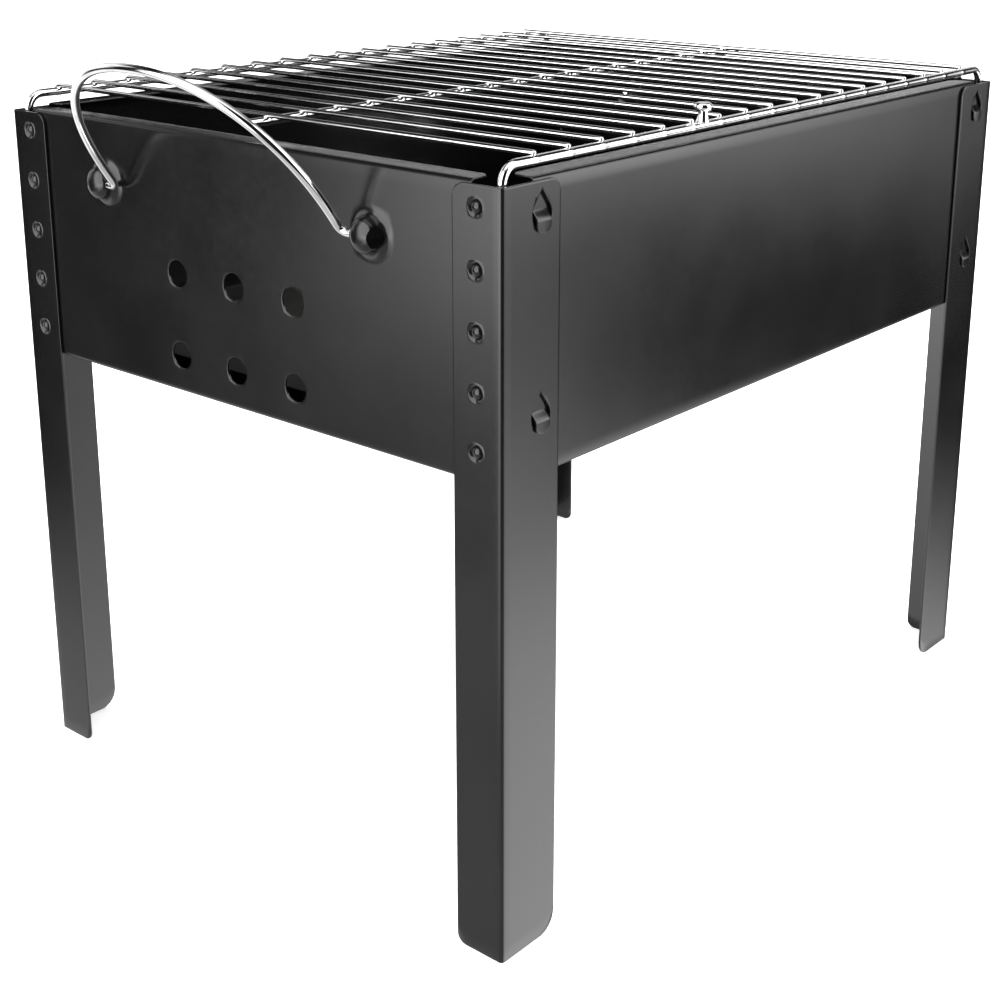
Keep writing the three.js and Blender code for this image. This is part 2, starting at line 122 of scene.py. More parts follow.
@dataclass
class Surface:
    """A mesh as arrays: points in millimetres, and faces of four and of three corners."""

    points: np.ndarray
    quads: np.ndarray
    triangles: np.ndarray

    @staticmethod
    def of_grid(grid: np.ndarray, keep: Optional[np.ndarray] = None, closed: bool = False) -> "Surface":
        """Joins the points of a grid with four-cornered faces.

        Args:
            grid: points, rows by columns by three.
            keep: which cells are kept, or None for all of them.
            closed: whether the last column joins the first.

        Returns:
            The surface, with its faces pointing to row direction x column direction.
        """
        rows, columns = grid.shape[:2]
        index = np.arange(rows * columns).reshape(rows, columns)
        if closed:
            index = np.concatenate([index, index[:, :1]], axis=1)
        corners = [index[:-1, :-1], index[1:, :-1], index[1:, 1:], index[:-1, 1:]]
        quads = np.stack(corners, axis=-1)
        quads = quads.reshape(-1, 4) if keep is None else quads[keep]
        return Surface(grid.reshape(-1, 3), quads, np.zeros((0, 3), int))

    @staticmethod
    def of_rings(rings: np.ndarray) -> "Surface":
        """A closed skin through a row of closed rings, with a pole at the middle of each end ring.

        Args:
            rings: points, rings by places round a ring by three.

        Returns:
            The skin, with its faces pointing out whichever way the rings run.
        """
        count, sides = rings.shape[:2]
        skin = Surface.of_grid(rings, closed=True)
        poles = np.stack([rings[0].mean(axis=0), rings[-1].mean(axis=0)])
        here = np.arange(sides)
        after = np.roll(here, -1)
        first = np.stack([np.full(sides, count * sides), here, after], axis=-1)
        last_row = (count - 1) * sides
        last = np.stack([np.full(sides, count * sides + 1), last_row + after, last_row + here], axis=-1)
        whole = Surface(np.concatenate([skin.points, poles]), skin.quads, np.concatenate([first, last]))
        return whole if whole.volume() > 0 else whole.turned_inside_out()

    @staticmethod
    def joined(parts: Sequence["Surface"]) -> "Surface":
        """Several surfaces as one."""
        starts = np.cumsum([0] + [len(part.points) for part in parts[:-1]])
        return Surface(
            np.concatenate([part.points for part in parts]),
            np.concatenate([part.quads + start for part, start in zip(parts, starts)]),
            np.concatenate([part.triangles + start for part, start in zip(parts, starts)]),
        )

    def all_triangles(self) -> np.ndarray:
        """Every face cut into triangles."""
        return np.concatenate([self.quads[:, [0, 1, 2]], self.quads[:, [0, 2, 3]], self.triangles])

    def volume(self) -> float:
        """The signed volume inside the faces, above 0 when they point out."""
        a, b, c = (self.points[self.all_triangles()[:, i]] for i in range(3))
        return float(np.einsum("ij,ij->", a, np.cross(b, c)) / 6)

    def turned_inside_out(self) -> "Surface":
        """The same surface with its faces pointing the other way."""
        return Surface(self.points, self.quads[:, ::-1], self.triangles[:, ::-1])

    def mirrored(self, sign_x: int, sign_y: int) -> "Surface":
        """The surface mirrored in X, in Y or in both, with its faces pointing as before."""
        copy = Surface(self.points * np.array([sign_x, sign_y, 1.0]), self.quads, self.triangles)
        return copy.turned_inside_out() if sign_x * sign_y < 0 else copy

    def moved(self, x: float = 0.0, y: float = 0.0, z: float = 0.0) -> "Surface":
        """The surface moved along the axes."""
        return Surface(self.points + np.array([x, y, z]), self.quads, self.triangles)

    def turned_about_x(self, angle: float) -> "Surface":
        """The surface turned about the X axis by an angle in radians."""
        c, s = math.cos(angle), math.sin(angle)
        turn = np.array([[1, 0, 0], [0, c, -s], [0, s, c]])
        return Surface(self.points @ turn.T, self.quads, self.triangles)

    def turned_about_z(self, angle: float) -> "Surface":
        """The surface turned about the Z axis by an angle in radians."""
        c, s = math.cos(angle), math.sin(angle)
        turn = np.array([[c, -s, 0], [s, c, 0], [0, 0, 1]])
        return Surface(self.points @ turn.T, self.quads, self.triangles)

    def to_object(self, name: str) -> bpy.types.Object:
        """A Blender object of the surface, put round the body's middle, in metres and smooth shaded."""
        used = np.unique(np.concatenate([self.quads.ravel(), self.triangles.ravel()]))
        place = np.zeros(len(self.points), int)
        place[used] = np.arange(len(used))
        mesh = bpy.data.meshes.new(name)
        faces = place[self.quads].tolist() + place[self.triangles].tolist()
        mesh.from_pydata(((self.points[used] + BODY_MIDDLE) * MM).tolist(), [], faces)
        mesh.update()
        mesh.shade_smooth()
        piece = bpy.data.objects.new(name, mesh)
        bpy.context.scene.collection.objects.link(piece)
        return piece


def revolved(profile: np.ndarray, sides: int) -> Surface:
    """A profile of distances from the Z axis and heights, carried round that axis.

    Args:
        profile: points, each a distance and a height, from one pole to the other.
        sides: how many places round the axis.

    Returns:
        The closed solid's skin. Each ring is (distance cos a, distance sin a, height).
    """
    angle = np.arange(sides) * 2 * math.pi / sides
    radius = profile[:, :1]
    x = radius * np.cos(angle)
    y = radius * np.sin(angle)
    z = np.repeat(profile[:, 1:], sides, axis=1)
    return Surface.of_rings(np.stack([x, y, z], axis=-1))


def wire(path: np.ndarray, radius: np.ndarray, across: Sequence[float], sides: int) -> Surface:
    """A round wire along a path that lies in one plane, with ball ends.

    Each ring is the path's point plus radius x (cos a x across + sin a x (tangent x across)). The
    ends add rings whose radius falls as a cosine while their place goes out as a sine.

    Args:
        path: points of the centre line.
        radius: the wire's radius at each point.
        across: the direction square to the path's plane.
        sides: how many places round the wire.

    Returns:
        The wire's closed skin.
    """
    tangent = np.gradient(path, axis=0)
    tangent /= np.linalg.norm(tangent, axis=1, keepdims=True)
    cap = np.linspace(0, QUARTER, 6)[1:-1]
    start = path[0] - np.outer(np.sin(cap[::-1]) * radius[0], tangent[0])
    end = path[-1] + np.outer(np.sin(cap) * radius[-1], tangent[-1])
    path = np.concatenate([start, path, end])
    radius = np.concatenate([radius[0] * np.cos(cap[::-1]), radius, radius[-1] * np.cos(cap)])
    tangent = np.concatenate(
        [np.repeat(tangent[:1], len(cap), axis=0), tangent, np.repeat(tangent[-1:], len(cap), axis=0)]
    )
    side = np.asarray(across, float)
    upward = np.cross(tangent, side)
    angle = np.arange(sides) * 2 * math.pi / sides
    ring = np.cos(angle)[None, :, None] * side + np.sin(angle)[None, :, None] * upward[:, None, :]
    return Surface.of_rings(path[:, None, :] + radius[:, None, None] * ring)


def smooth_step(value: np.ndarray, low: float, high: float) -> np.ndarray:
    """0 below low, 1 above high, and 3t^2 - 2t^3 between them."""
    t = np.clip((value - low) / (high - low), 0, 1)
    return t * t * (3 - 2 * t)


def corner_drop(inset: np.ndarray, radius: float) -> np.ndarray:
    """How far a round corner cuts in, at a distance in from the side: radius - sqrt(radius^2 - d^2)."""
    d = np.clip(radius - inset, 0, radius)
    return radius - np.sqrt(np.maximum(radius**2 - d**2, 0))


# ---------------------------------------------------------------- sheet metal


@dataclass(frozen=True)
class Feature:
    """A hole or a pressing in a flat sheet, which the sheet's grid closes round in rings.

    A block of the grid round the centre is drawn to the feature's rim. In a hole the block's cells
    are dropped. In a pressing its rings follow a profile of shares of the rim's radius and heights.
    """

    centre: tuple[float, float]
    half: tuple[float, float]  # half the block's size each way
    reach: float  # where the grid is undisturbed again, in half sizes
    rim: np.ndarray  # outline round the centre, in order round it
    profile: Optional[np.ndarray] = None  # share of the rim's radius, and height, ring by ring
    cells: int = 8  # across half the block
    outer_cells: int = 3

    def lines(self, axis: int) -> tuple[list[float], list[float]]:
        """The grid lines along one axis that it needs, and those that it would like."""
        middle, half = self.centre[axis], self.half[axis]
        inner = np.linspace(-half, half, 2 * self.cells + 1)
        outer = np.linspace(half, half * self.reach, self.outer_cells + 1)[1:]
        needed = [middle - half, middle, middle + half]
        wished = middle + np.concatenate([inner, outer, -outer])
        return needed, wished.tolist()

    def warp(self, flat: np.ndarray, height: np.ndarray) -> tuple[np.ndarray, np.ndarray]:
        """Draws the grid to the rim.

        q is the larger of the two distances from the centre, in half sizes. From q = 1 to the reach a
        point goes from the rim to the outer block, in proportion. Inside, it goes to the profile.

        Args:
            flat: the grid's points on the flat sheet.
            height: how far each point stands out of the sheet.

        Returns:
            The points and the heights.
        """
        offset = flat - np.array(self.centre)
        q = np.abs(offset / np.array(self.half)).max(axis=-1)
        angle = np.arctan2(offset[..., 1], offset[..., 0])
        rim_angle = np.arctan2(self.rim[:, 1], self.rim[:, 0])
        rim_radius = np.interp(angle, rim_angle, np.hypot(*self.rim.T), period=2 * math.pi)
        spoke = np.stack([np.cos(angle), np.sin(angle)], axis=-1)
        rim = spoke * rim_radius[..., None]
        share = np.clip((q - 1) / (self.reach - 1), 0, 1)[..., None]
        outward = offset * (self.reach / np.maximum(q, 1e-6))[..., None]
        place = np.where((q < self.reach)[..., None], (1 - share) * rim + share * outward, offset)
        if self.profile is not None:
            rings = np.linspace(0, 1, len(self.profile))
            within = q <= 1
            shrink = np.interp(q, rings, self.profile[:, 0])[..., None]
            place = np.where(within[..., None], rim * shrink, place)
            height = np.where(within, height + np.interp(q, rings, self.profile[:, 1]), height)
        return place + np.array(self.centre), height

    def dropped(self, middles: np.ndarray) -> np.ndarray:
        """Which cells of the grid, given by their middles, a hole drops."""
        if self.profile is not None:
            return np.zeros(middles.shape[:2], bool)
        return np.abs((middles - np.array(self.centre)) / np.array(self.half)).max(axis=-1) < 1


@dataclass(frozen=True)
class FoldedLine:
    """A sheet's outer outline: straight runs joined by quarter bends that all turn clockwise."""

    start: tuple[float, float]
    heading: float
    runs: tuple[float, ...]
    bend: float  # outer radius

    def breaks(self) -> np.ndarray:
        """The distances along the line at which runs and bends start and end."""
        arc = self.bend * QUARTER
        lengths = [part for run in self.runs for part in (run, arc)][:-1]
        return np.concatenate([[0.0], np.cumsum(lengths)])

    def at(self, distance: np.ndarray) -> tuple[np.ndarray, np.ndarray]:
        """The points at distances along the line, and the outward directions there.

        On a run the point is start + distance x heading. On a bend it is the bend's centre plus
        radius x (cos t x outward + sin t x heading), with t the angle turned so far.
        """
        place = np.array(self.start, float)
        heading, reached = self.heading, 0.0
        points = np.zeros(distance.shape + (2,))
        outward = np.zeros(distance.shape + (2,))
        for number, run in enumerate(self.runs):
            along = np.array([math.cos(heading), math.sin(heading)])
            left = np.array([-along[1], along[0]])
            here = (distance >= reached)[..., None]
            points = np.where(here, place + (distance - reached)[..., None] * along, points)
            outward = np.where(here, left, outward)
            reached += run
            place = place + run * along
            if number < len(self.runs) - 1:
                turned = np.clip((distance - reached) / self.bend, 0, QUARTER)[..., None]
                radial = np.cos(turned) * left + np.sin(turned) * along
                centre = place - self.bend * left
                here = (distance > reached)[..., None]
                points = np.where(here, centre + self.bend * radial, points)
                outward = np.where(here, radial, outward)
                reached += self.bend * QUARTER
                place = centre + self.bend * along
                heading -= QUARTER
        return points, outward


def grid_lines(needed: Sequence[float], wished: Sequence[float], longest: float) -> np.ndarray:
    """Grid lines that hold every needed place, the wished ones that aren't too close, and no long gap.

    Args:
        needed: places that must be there.
        wished: places that are taken unless another line is near.
        longest: the widest gap allowed.

    Returns:
        The places in order.
    """
    lines = sorted(set(np.round(needed, 4)))
    low, high = lines[0], lines[-1]
    for place in sorted(wished):
        near = min(abs(place - line) for line in lines)
        if near > CLOSEST_LINES and low < place < high:
            lines.append(place)
    lines = sorted(lines)
    spans = zip(lines[:-1], lines[1:])
    filled = [np.linspace(a, b, max(math.ceil((b - a) / longest), 1), endpoint=False) for a, b in spans]
    return np.append(np.concatenate(filled), lines[-1])


def with_features(
    features: Sequence[Feature],
    needed: tuple[list, list],
    wished: tuple[list, list],
    gaps: tuple[float, float],
) -> np.ndarray:
    """A flat grid whose lines suit every feature.

    Args:
        features: the holes and pressings.
        needed: the other places along each axis that must have a line.
        wished: the other places along each axis that would like one.
        gaps: the widest gap along each axis.

    Returns:
        The grid's points on the flat sheet.
    """
    lines = []
    for axis in range(2):
        asked = [feature.lines(axis) for feature in features]
        must = needed[axis] + [place for first, _ in asked for place in first]
        would = wished[axis] + [place for _, second in asked for place in second]
        lines.append(grid_lines(must, would, gaps[axis]))
    return np.stack(np.meshgrid(*lines, indexing="ij"), axis=-1)


def circle_rim(radius: float) -> np.ndarray:
    """A round outline."""
    angle = np.linspace(-math.pi, math.pi, 73)[1:]
    return radius * np.stack([np.cos(angle), np.sin(angle)], axis=-1)


def faces_outward(points: np.ndarray, outward: np.ndarray) -> bool:
    """Whether a grid's faces point the way of its outward directions, as a whole."""
    normal = np.cross(points[1:, :-1] - points[:-1, :-1], points[:-1, 1:] - points[:-1, :-1])
    return float((normal * outward[:-1, :-1]).sum()) > 0


def sheet_surface(points: np.ndarray, outward: np.ndarray, keep: np.ndarray) -> Surface:
    """The outer face of a sheet as a surface whose faces point outward."""
    face = Surface.of_grid(points, keep)
    return face if faces_outward(points, outward) else face.turned_inside_out()


def thickened(piece: bpy.types.Object, sheet: float, edge: float) -> None:
    """Gives a sheet's outer face its thickness inward and breaks its cut edges, in the mesh itself."""
    wall = piece.modifiers.new("Sheet", "SOLIDIFY")
    wall.thickness = sheet * MM
    wall.offset = -1
    wall.use_even_offset = True
    broken = piece.modifiers.new("Edges", "BEVEL")
    broken.width = edge * MM
    broken.segments = 3
    broken.limit_method = "ANGLE"
    broken.angle_limit = math.radians(60)
    broken.use_clamp_overlap = False
    settle(piece)


def settle(piece: bpy.types.Object) -> None:
    """Puts a piece's modifiers into its mesh, and keeps only its sharp edges sharp."""
    graph = bpy.context.evaluated_depsgraph_get()
    graph.update()
    finished = bpy.data.meshes.new_from_object(piece.evaluated_get(graph))
    piece.modifiers.clear()
    worn = piece.data
    piece.data = finished
    bpy.data.meshes.remove(worn)
    finished.name = piece.name
    finished.shade_smooth()
    finished.set_sharp_from_angle(angle=math.radians(28))


def cut_by(piece: bpy.types.Object, cutter: Surface) -> None:
    """Cuts a closed surface out of a piece."""
    tool = cutter.to_object(piece.name + "_cutter")
    cut = piece.modifiers.new("Cut", "BOOLEAN")
    cut.object = tool
    cut.operation = "DIFFERENCE"
    cut.solver = "EXACT"
    settle(piece)
    mesh = tool.data
    bpy.data.objects.remove(tool)
    bpy.data.meshes.remove(mesh)


# ---------------------------------------------------------------- node trees

Number = Union["Value", float]


class Value:
    """A number socket of a node tree that can be used in arithmetic."""

    def __init__(self, tree: "Tree", socket: bpy.types.NodeSocket) -> None:
        """Wraps a socket of a tree."""
        self.tree = tree
        self.socket = socket

    def _math(self, operation: str, first: Number, second: Number) -> "Value":
        """A Math node on two numbers."""
        made = self.tree.node("ShaderNodeMath", {"operation": operation}, {0: first, 1: second})
        return Value(self.tree, made.outputs[0])

    def __add__(self, other: Number) -> "Value":
        """The sum."""
        return self._math("ADD", self, other)

    def __radd__(self, other: Number) -> "Value":
        """The sum, with a plain number first."""
        return self._math("ADD", other, self)

    def __sub__(self, other: Number) -> "Value":
        """The difference."""
        return self._math("SUBTRACT", self, other)

    def __rsub__(self, other: Number) -> "Value":
        """The difference, from a plain number."""
        return self._math("SUBTRACT", other, self)

    def __mul__(self, other: Number) -> "Value":
        """The product."""
        return self._math("MULTIPLY", self, other)

    def __rmul__(self, other: Number) -> "Value":
        """The product, with a plain number first."""
        return self._math("MULTIPLY", other, self)

    def smooth(self, low: float, high: float) -> "Value":
        """0 below low, 1 above high, and a smooth step between."""
        made = self.tree.node(
            "ShaderNodeMapRange", {"interpolation_type": "SMOOTHSTEP"}, {"Value": self, 1: low, 2: high}
        )
        return Value(self.tree, made.outputs[0])


class Tree:
    """A node tree that is written as expressions."""

    def __init__(self, tree: bpy.types.NodeTree) -> None:
        """Empties a tree and takes it over."""
        tree.nodes.clear()
        self.tree = tree

    def node(self, kind: str, settings: dict, inputs: dict) -> bpy.types.Node:
        """Adds a node.

        Args:
            kind: the node's type.
            settings: its own settings, such as a Math node's operation.
            inputs: values or links for its sockets, by name or number.

        Returns:
            The node.
        """
        made = self.tree.nodes.new(kind)
        for key, value in settings.items():
            setattr(made, key, value)
        for key, value in inputs.items():
            source = value.socket if isinstance(value, Value) else value
            if isinstance(source, bpy.types.NodeSocket):
                self.tree.links.new(source, made.inputs[key])
            else:
                made.inputs[key].default_value = source
        return made

    def value(self, kind: str, settings: dict, inputs: dict, output: Union[int, str] = 0) -> Value:
        """Adds a node and wraps one of its outputs as a number."""
        return Value(self, self.node(kind, settings, inputs).outputs[output])

    def places(self, stretch: Sequence[float] = (1, 1, 1)) -> bpy.types.NodeSocket:
        """Object coordinates in metres, stretched along the axes."""
        source = self.node("ShaderNodeTexCoord", {}, {}).outputs["Object"]
        return self.node("ShaderNodeMapping", {}, {"Vector": source, "Scale": tuple(stretch)}).outputs[0]

    def noise(self, per_metre: float, detail: float = 2.0, stretch: Sequence[float] = (1, 1, 1)) -> Value:
        """Soft noise with a number of blots to the metre."""
        inputs = {"Vector": self.places(stretch), "Scale": per_metre, "Detail": detail}
        return self.value("ShaderNodeTexNoise", {}, inputs)

    def mixed(self, factor: Number, first: Sequence[float], second: Sequence[float]) -> bpy.types.NodeSocket:
        """One colour turning into another."""
        inputs = {0: factor, 6: (*first, 1.0), 7: (*second, 1.0)}
        return self.node("ShaderNodeMix", {"data_type": "RGBA"}, inputs).outputs[2]

    def bump(self, height: Number, distance_mm: float, strength: float) -> bpy.types.NodeSocket:
        """A normal roughened by a height of at most a distance in millimetres."""
        inputs = {"Height": height, "Distance": distance_mm * MM, "Strength": strength}
        return self.node("ShaderNodeBump", {}, inputs).outputs["Normal"]


def dressed(name: str, shader_inputs: Callable[[Tree], dict]) -> bpy.types.Material:
    """A material of one Principled shader.

    Args:
        name: the material's name.
        shader_inputs: gives the shader's socket values and links, from the material's tree.

    Returns:
        The material.
    """
    material = bpy.data.materials.new(name)
    material.use_nodes = True
    tree = Tree(material.node_tree)
    shader = tree.node("ShaderNodeBsdfPrincipled", {}, shader_inputs(tree))
    tree.node("ShaderNodeOutputMaterial", {}, {"Surface": shader.outputs[0]})
    return material


# ---------------------------------------------------------------- finishes


@dataclass(frozen=True)
class PowderPaint:
    """Baked black powder paint: even, satin, with a fine orange peel and a little dust in it."""

    name: str
    dark: tuple[float, float, float]
    light: tuple[float, float, float]
    roughness: float
    peel_per_metre: float = 900.0
    peel_depth_mm: float = 0.02
    peel_strength: float = 0.22

    def make(self) -> bpy.types.Material:
        """The finish as a material."""
        return dressed(self.name, self._inputs)

    def _inputs(self, tree: Tree) -> dict:
        """Colour from slow mottling and dust specks, roughness from both, and the orange peel."""
        mottle = tree.noise(18.0, 3.0)
        grain = tree.noise(260.0, 2.0)
        peel = tree.noise(self.peel_per_metre, 1.5)
        specks = tree.noise(1500.0, 0.0).smooth(0.70, 0.80)
        tone = mottle.smooth(0.30, 0.72) * 0.7 + grain * 0.2 + specks * 0.3
        rough = self.roughness + (mottle - 0.5) * 0.07 + (grain - 0.5) * 0.05 + specks * 0.05
        return {
            "Base Color": tree.mixed(tone, self.dark, self.light),
            "Roughness": rough,
            "Normal": tree.bump(peel, self.peel_depth_mm, self.peel_strength),
        }


@dataclass(frozen=True)
class HeatPaint:
    """Matt heat-resistant black, rubbed and sooty."""

    name: str
    dark: tuple[float, float, float]
    light: tuple[float, float, float]

    def make(self) -> bpy.types.Material:
        """The finish as a material."""
        return dressed(self.name, self._inputs)

    def _inputs(self, tree: Tree) -> dict:
        """Soot in clouds, a coarse grain and a rough, matt skin."""
        soot = tree.noise(14.0, 5.0).smooth(0.35, 0.68)
        grain = tree.noise(700.0, 3.0)
        return {
            "Base Color": tree.mixed(soot * 0.8 + grain * 0.25, self.dark, self.light),
            "Roughness": 0.62 + soot * 0.16 + (grain - 0.5) * 0.12,
            "Specular IOR Level": 0.25,
            "Normal": tree.bump(grain, 0.05, 0.5),
        }


@dataclass(frozen=True)
class Plating:
    """Bright plated wire with fine drawing marks and a few duller patches."""

    name: str
    bright: tuple[float, float, float]
    dull: tuple[float, float, float]
    roughness: float

    def make(self) -> bpy.types.Material:
        """The finish as a material."""
        return dressed(self.name, self._inputs)

    def _inputs(self, tree: Tree) -> dict:
        """Metal whose colour and roughness follow dull patches and fine drawing marks."""
        patches = tree.noise(60.0, 4.0).smooth(0.48, 0.72)
        marks = tree.noise(1200.0, 2.0)
        return {
            "Base Color": tree.mixed(patches * 0.8, self.bright, self.dull),
            "Metallic": 1.0,
            "Roughness": self.roughness + patches * 0.10 + (marks - 0.5) * 0.05,
            "Normal": tree.bump(marks, 0.01, 0.2),
        }


class Finishes:
    """Every finish of the grill as a material, by its slot."""

    def __init__(self) -> None:
        """Makes the materials."""
        recipes = {
            Slot.BLACK_PAINT: PowderPaint(
                "black powder paint", (0.003, 0.003, 0.003), (0.006, 0.006, 0.006), 0.18
            ),
            Slot.RIVET_PAINT: PowderPaint(
                "painted rivet", (0.002, 0.002, 0.002), (0.006, 0.006, 0.006), 0.12
            ),
            Slot.TRAY_PAINT: HeatPaint("heat paint", (0.003, 0.003, 0.003), (0.009, 0.009, 0.008)),
            Slot.CHROME: Plating("bright plating", (0.86, 0.86, 0.87), (0.66, 0.66, 0.67), 0.09),
        }
        self.materials = {slot: recipe.make() for slot, recipe in recipes.items()}

    def dress(self, piece: bpy.types.Object, slot: Slot) -> None:
        """Gives a piece the material of a slot."""
        piece.data.materials.clear()
        piece.data.materials.append(self.materials[slot])


@dataclass
class Shop:
    """Where pieces are put on the frame: it dresses them, rides them and hides the CAD nodes that they stand
    for.
    """

    finishes: Finishes

    def place(self, piece: bpy.types.Object, node: str, body: str, slot: Slot) -> bpy.types.Object:
        """Puts a finished piece on a body, in the place of a CAD node.

        Args:
            piece: the piece, with its place in its mesh.
            node: the CAD node that it stands for.
            body: the body that it moves with.
            slot: its finish.

        Returns:
            The piece.
        """
        self.finishes.dress(piece, slot)
        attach(piece, body)
        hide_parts(node)
        log.info("%s: %d faces on %s", piece.name, len(piece.data.polygons), body)
        return piece


# ---------------------------------------------------------------- legs and rivets


@dataclass(frozen=True)
class Window:
    """The teardrop windows of the legs, which the side panels' tongues hang in."""

    width: float = 11.8
    height: float = 15.9
    drops: tuple[float, float] = (19.3, 102.0)  # of the lower edges, below the top of the leg
    block: tuple[float, float] = (4.9, 6.9)
    reach: float = 1.5

    def centre_lift(self) -> float:
        """The window's middle above its lower edge."""
        return self.height / 2

    def rim(self) -> np.ndarray:
        """The outline: a round lower end and two straight flanks that meet in a point at the top."""
        radius = self.width / 2
        rise = self.height - radius
        spread = math.acos(radius / rise)
        arc = np.linspace(QUARTER - spread, spread - 3 * QUARTER, 48)
        round_end = radius * np.stack([np.cos(arc), np.sin(arc)], axis=-1) + [0, radius]
        share = np.linspace(0, 1, 12)[:, None]
        apex = np.array([0.0, self.height])
        left = round_end[-1] + share[1:] * (apex - round_end[-1])
        right = apex + share[1:-1] * (round_end[0] - apex)
        outline = np.concatenate([round_end, left, right]) - [0, self.centre_lift()]
        return outline[::-1]

    def half_width(self, height: np.ndarray) -> np.ndarray:
        """Half the window's width at heights above its lower edge."""
        radius = self.width / 2
        rise = self.height - radius
        slope = radius / math.sqrt(rise**2 - radius**2)
        flank = np.maximum(self.height - height, 0) * slope
        chord = np.sqrt(np.maximum(radius**2 - (height - radius) ** 2, 0))
        tangent_height = radius + radius**2 / rise
        return np.where(height > tangent_height, flank, chord)

    def feature(self, place: float, lower_edge: float) -> Feature:
        """The window as a hole in a leg's flat sheet."""
        centre = (place, lower_edge + self.centre_lift())
        return Feature(centre, self.block, self.reach, self.rim(), cells=9)


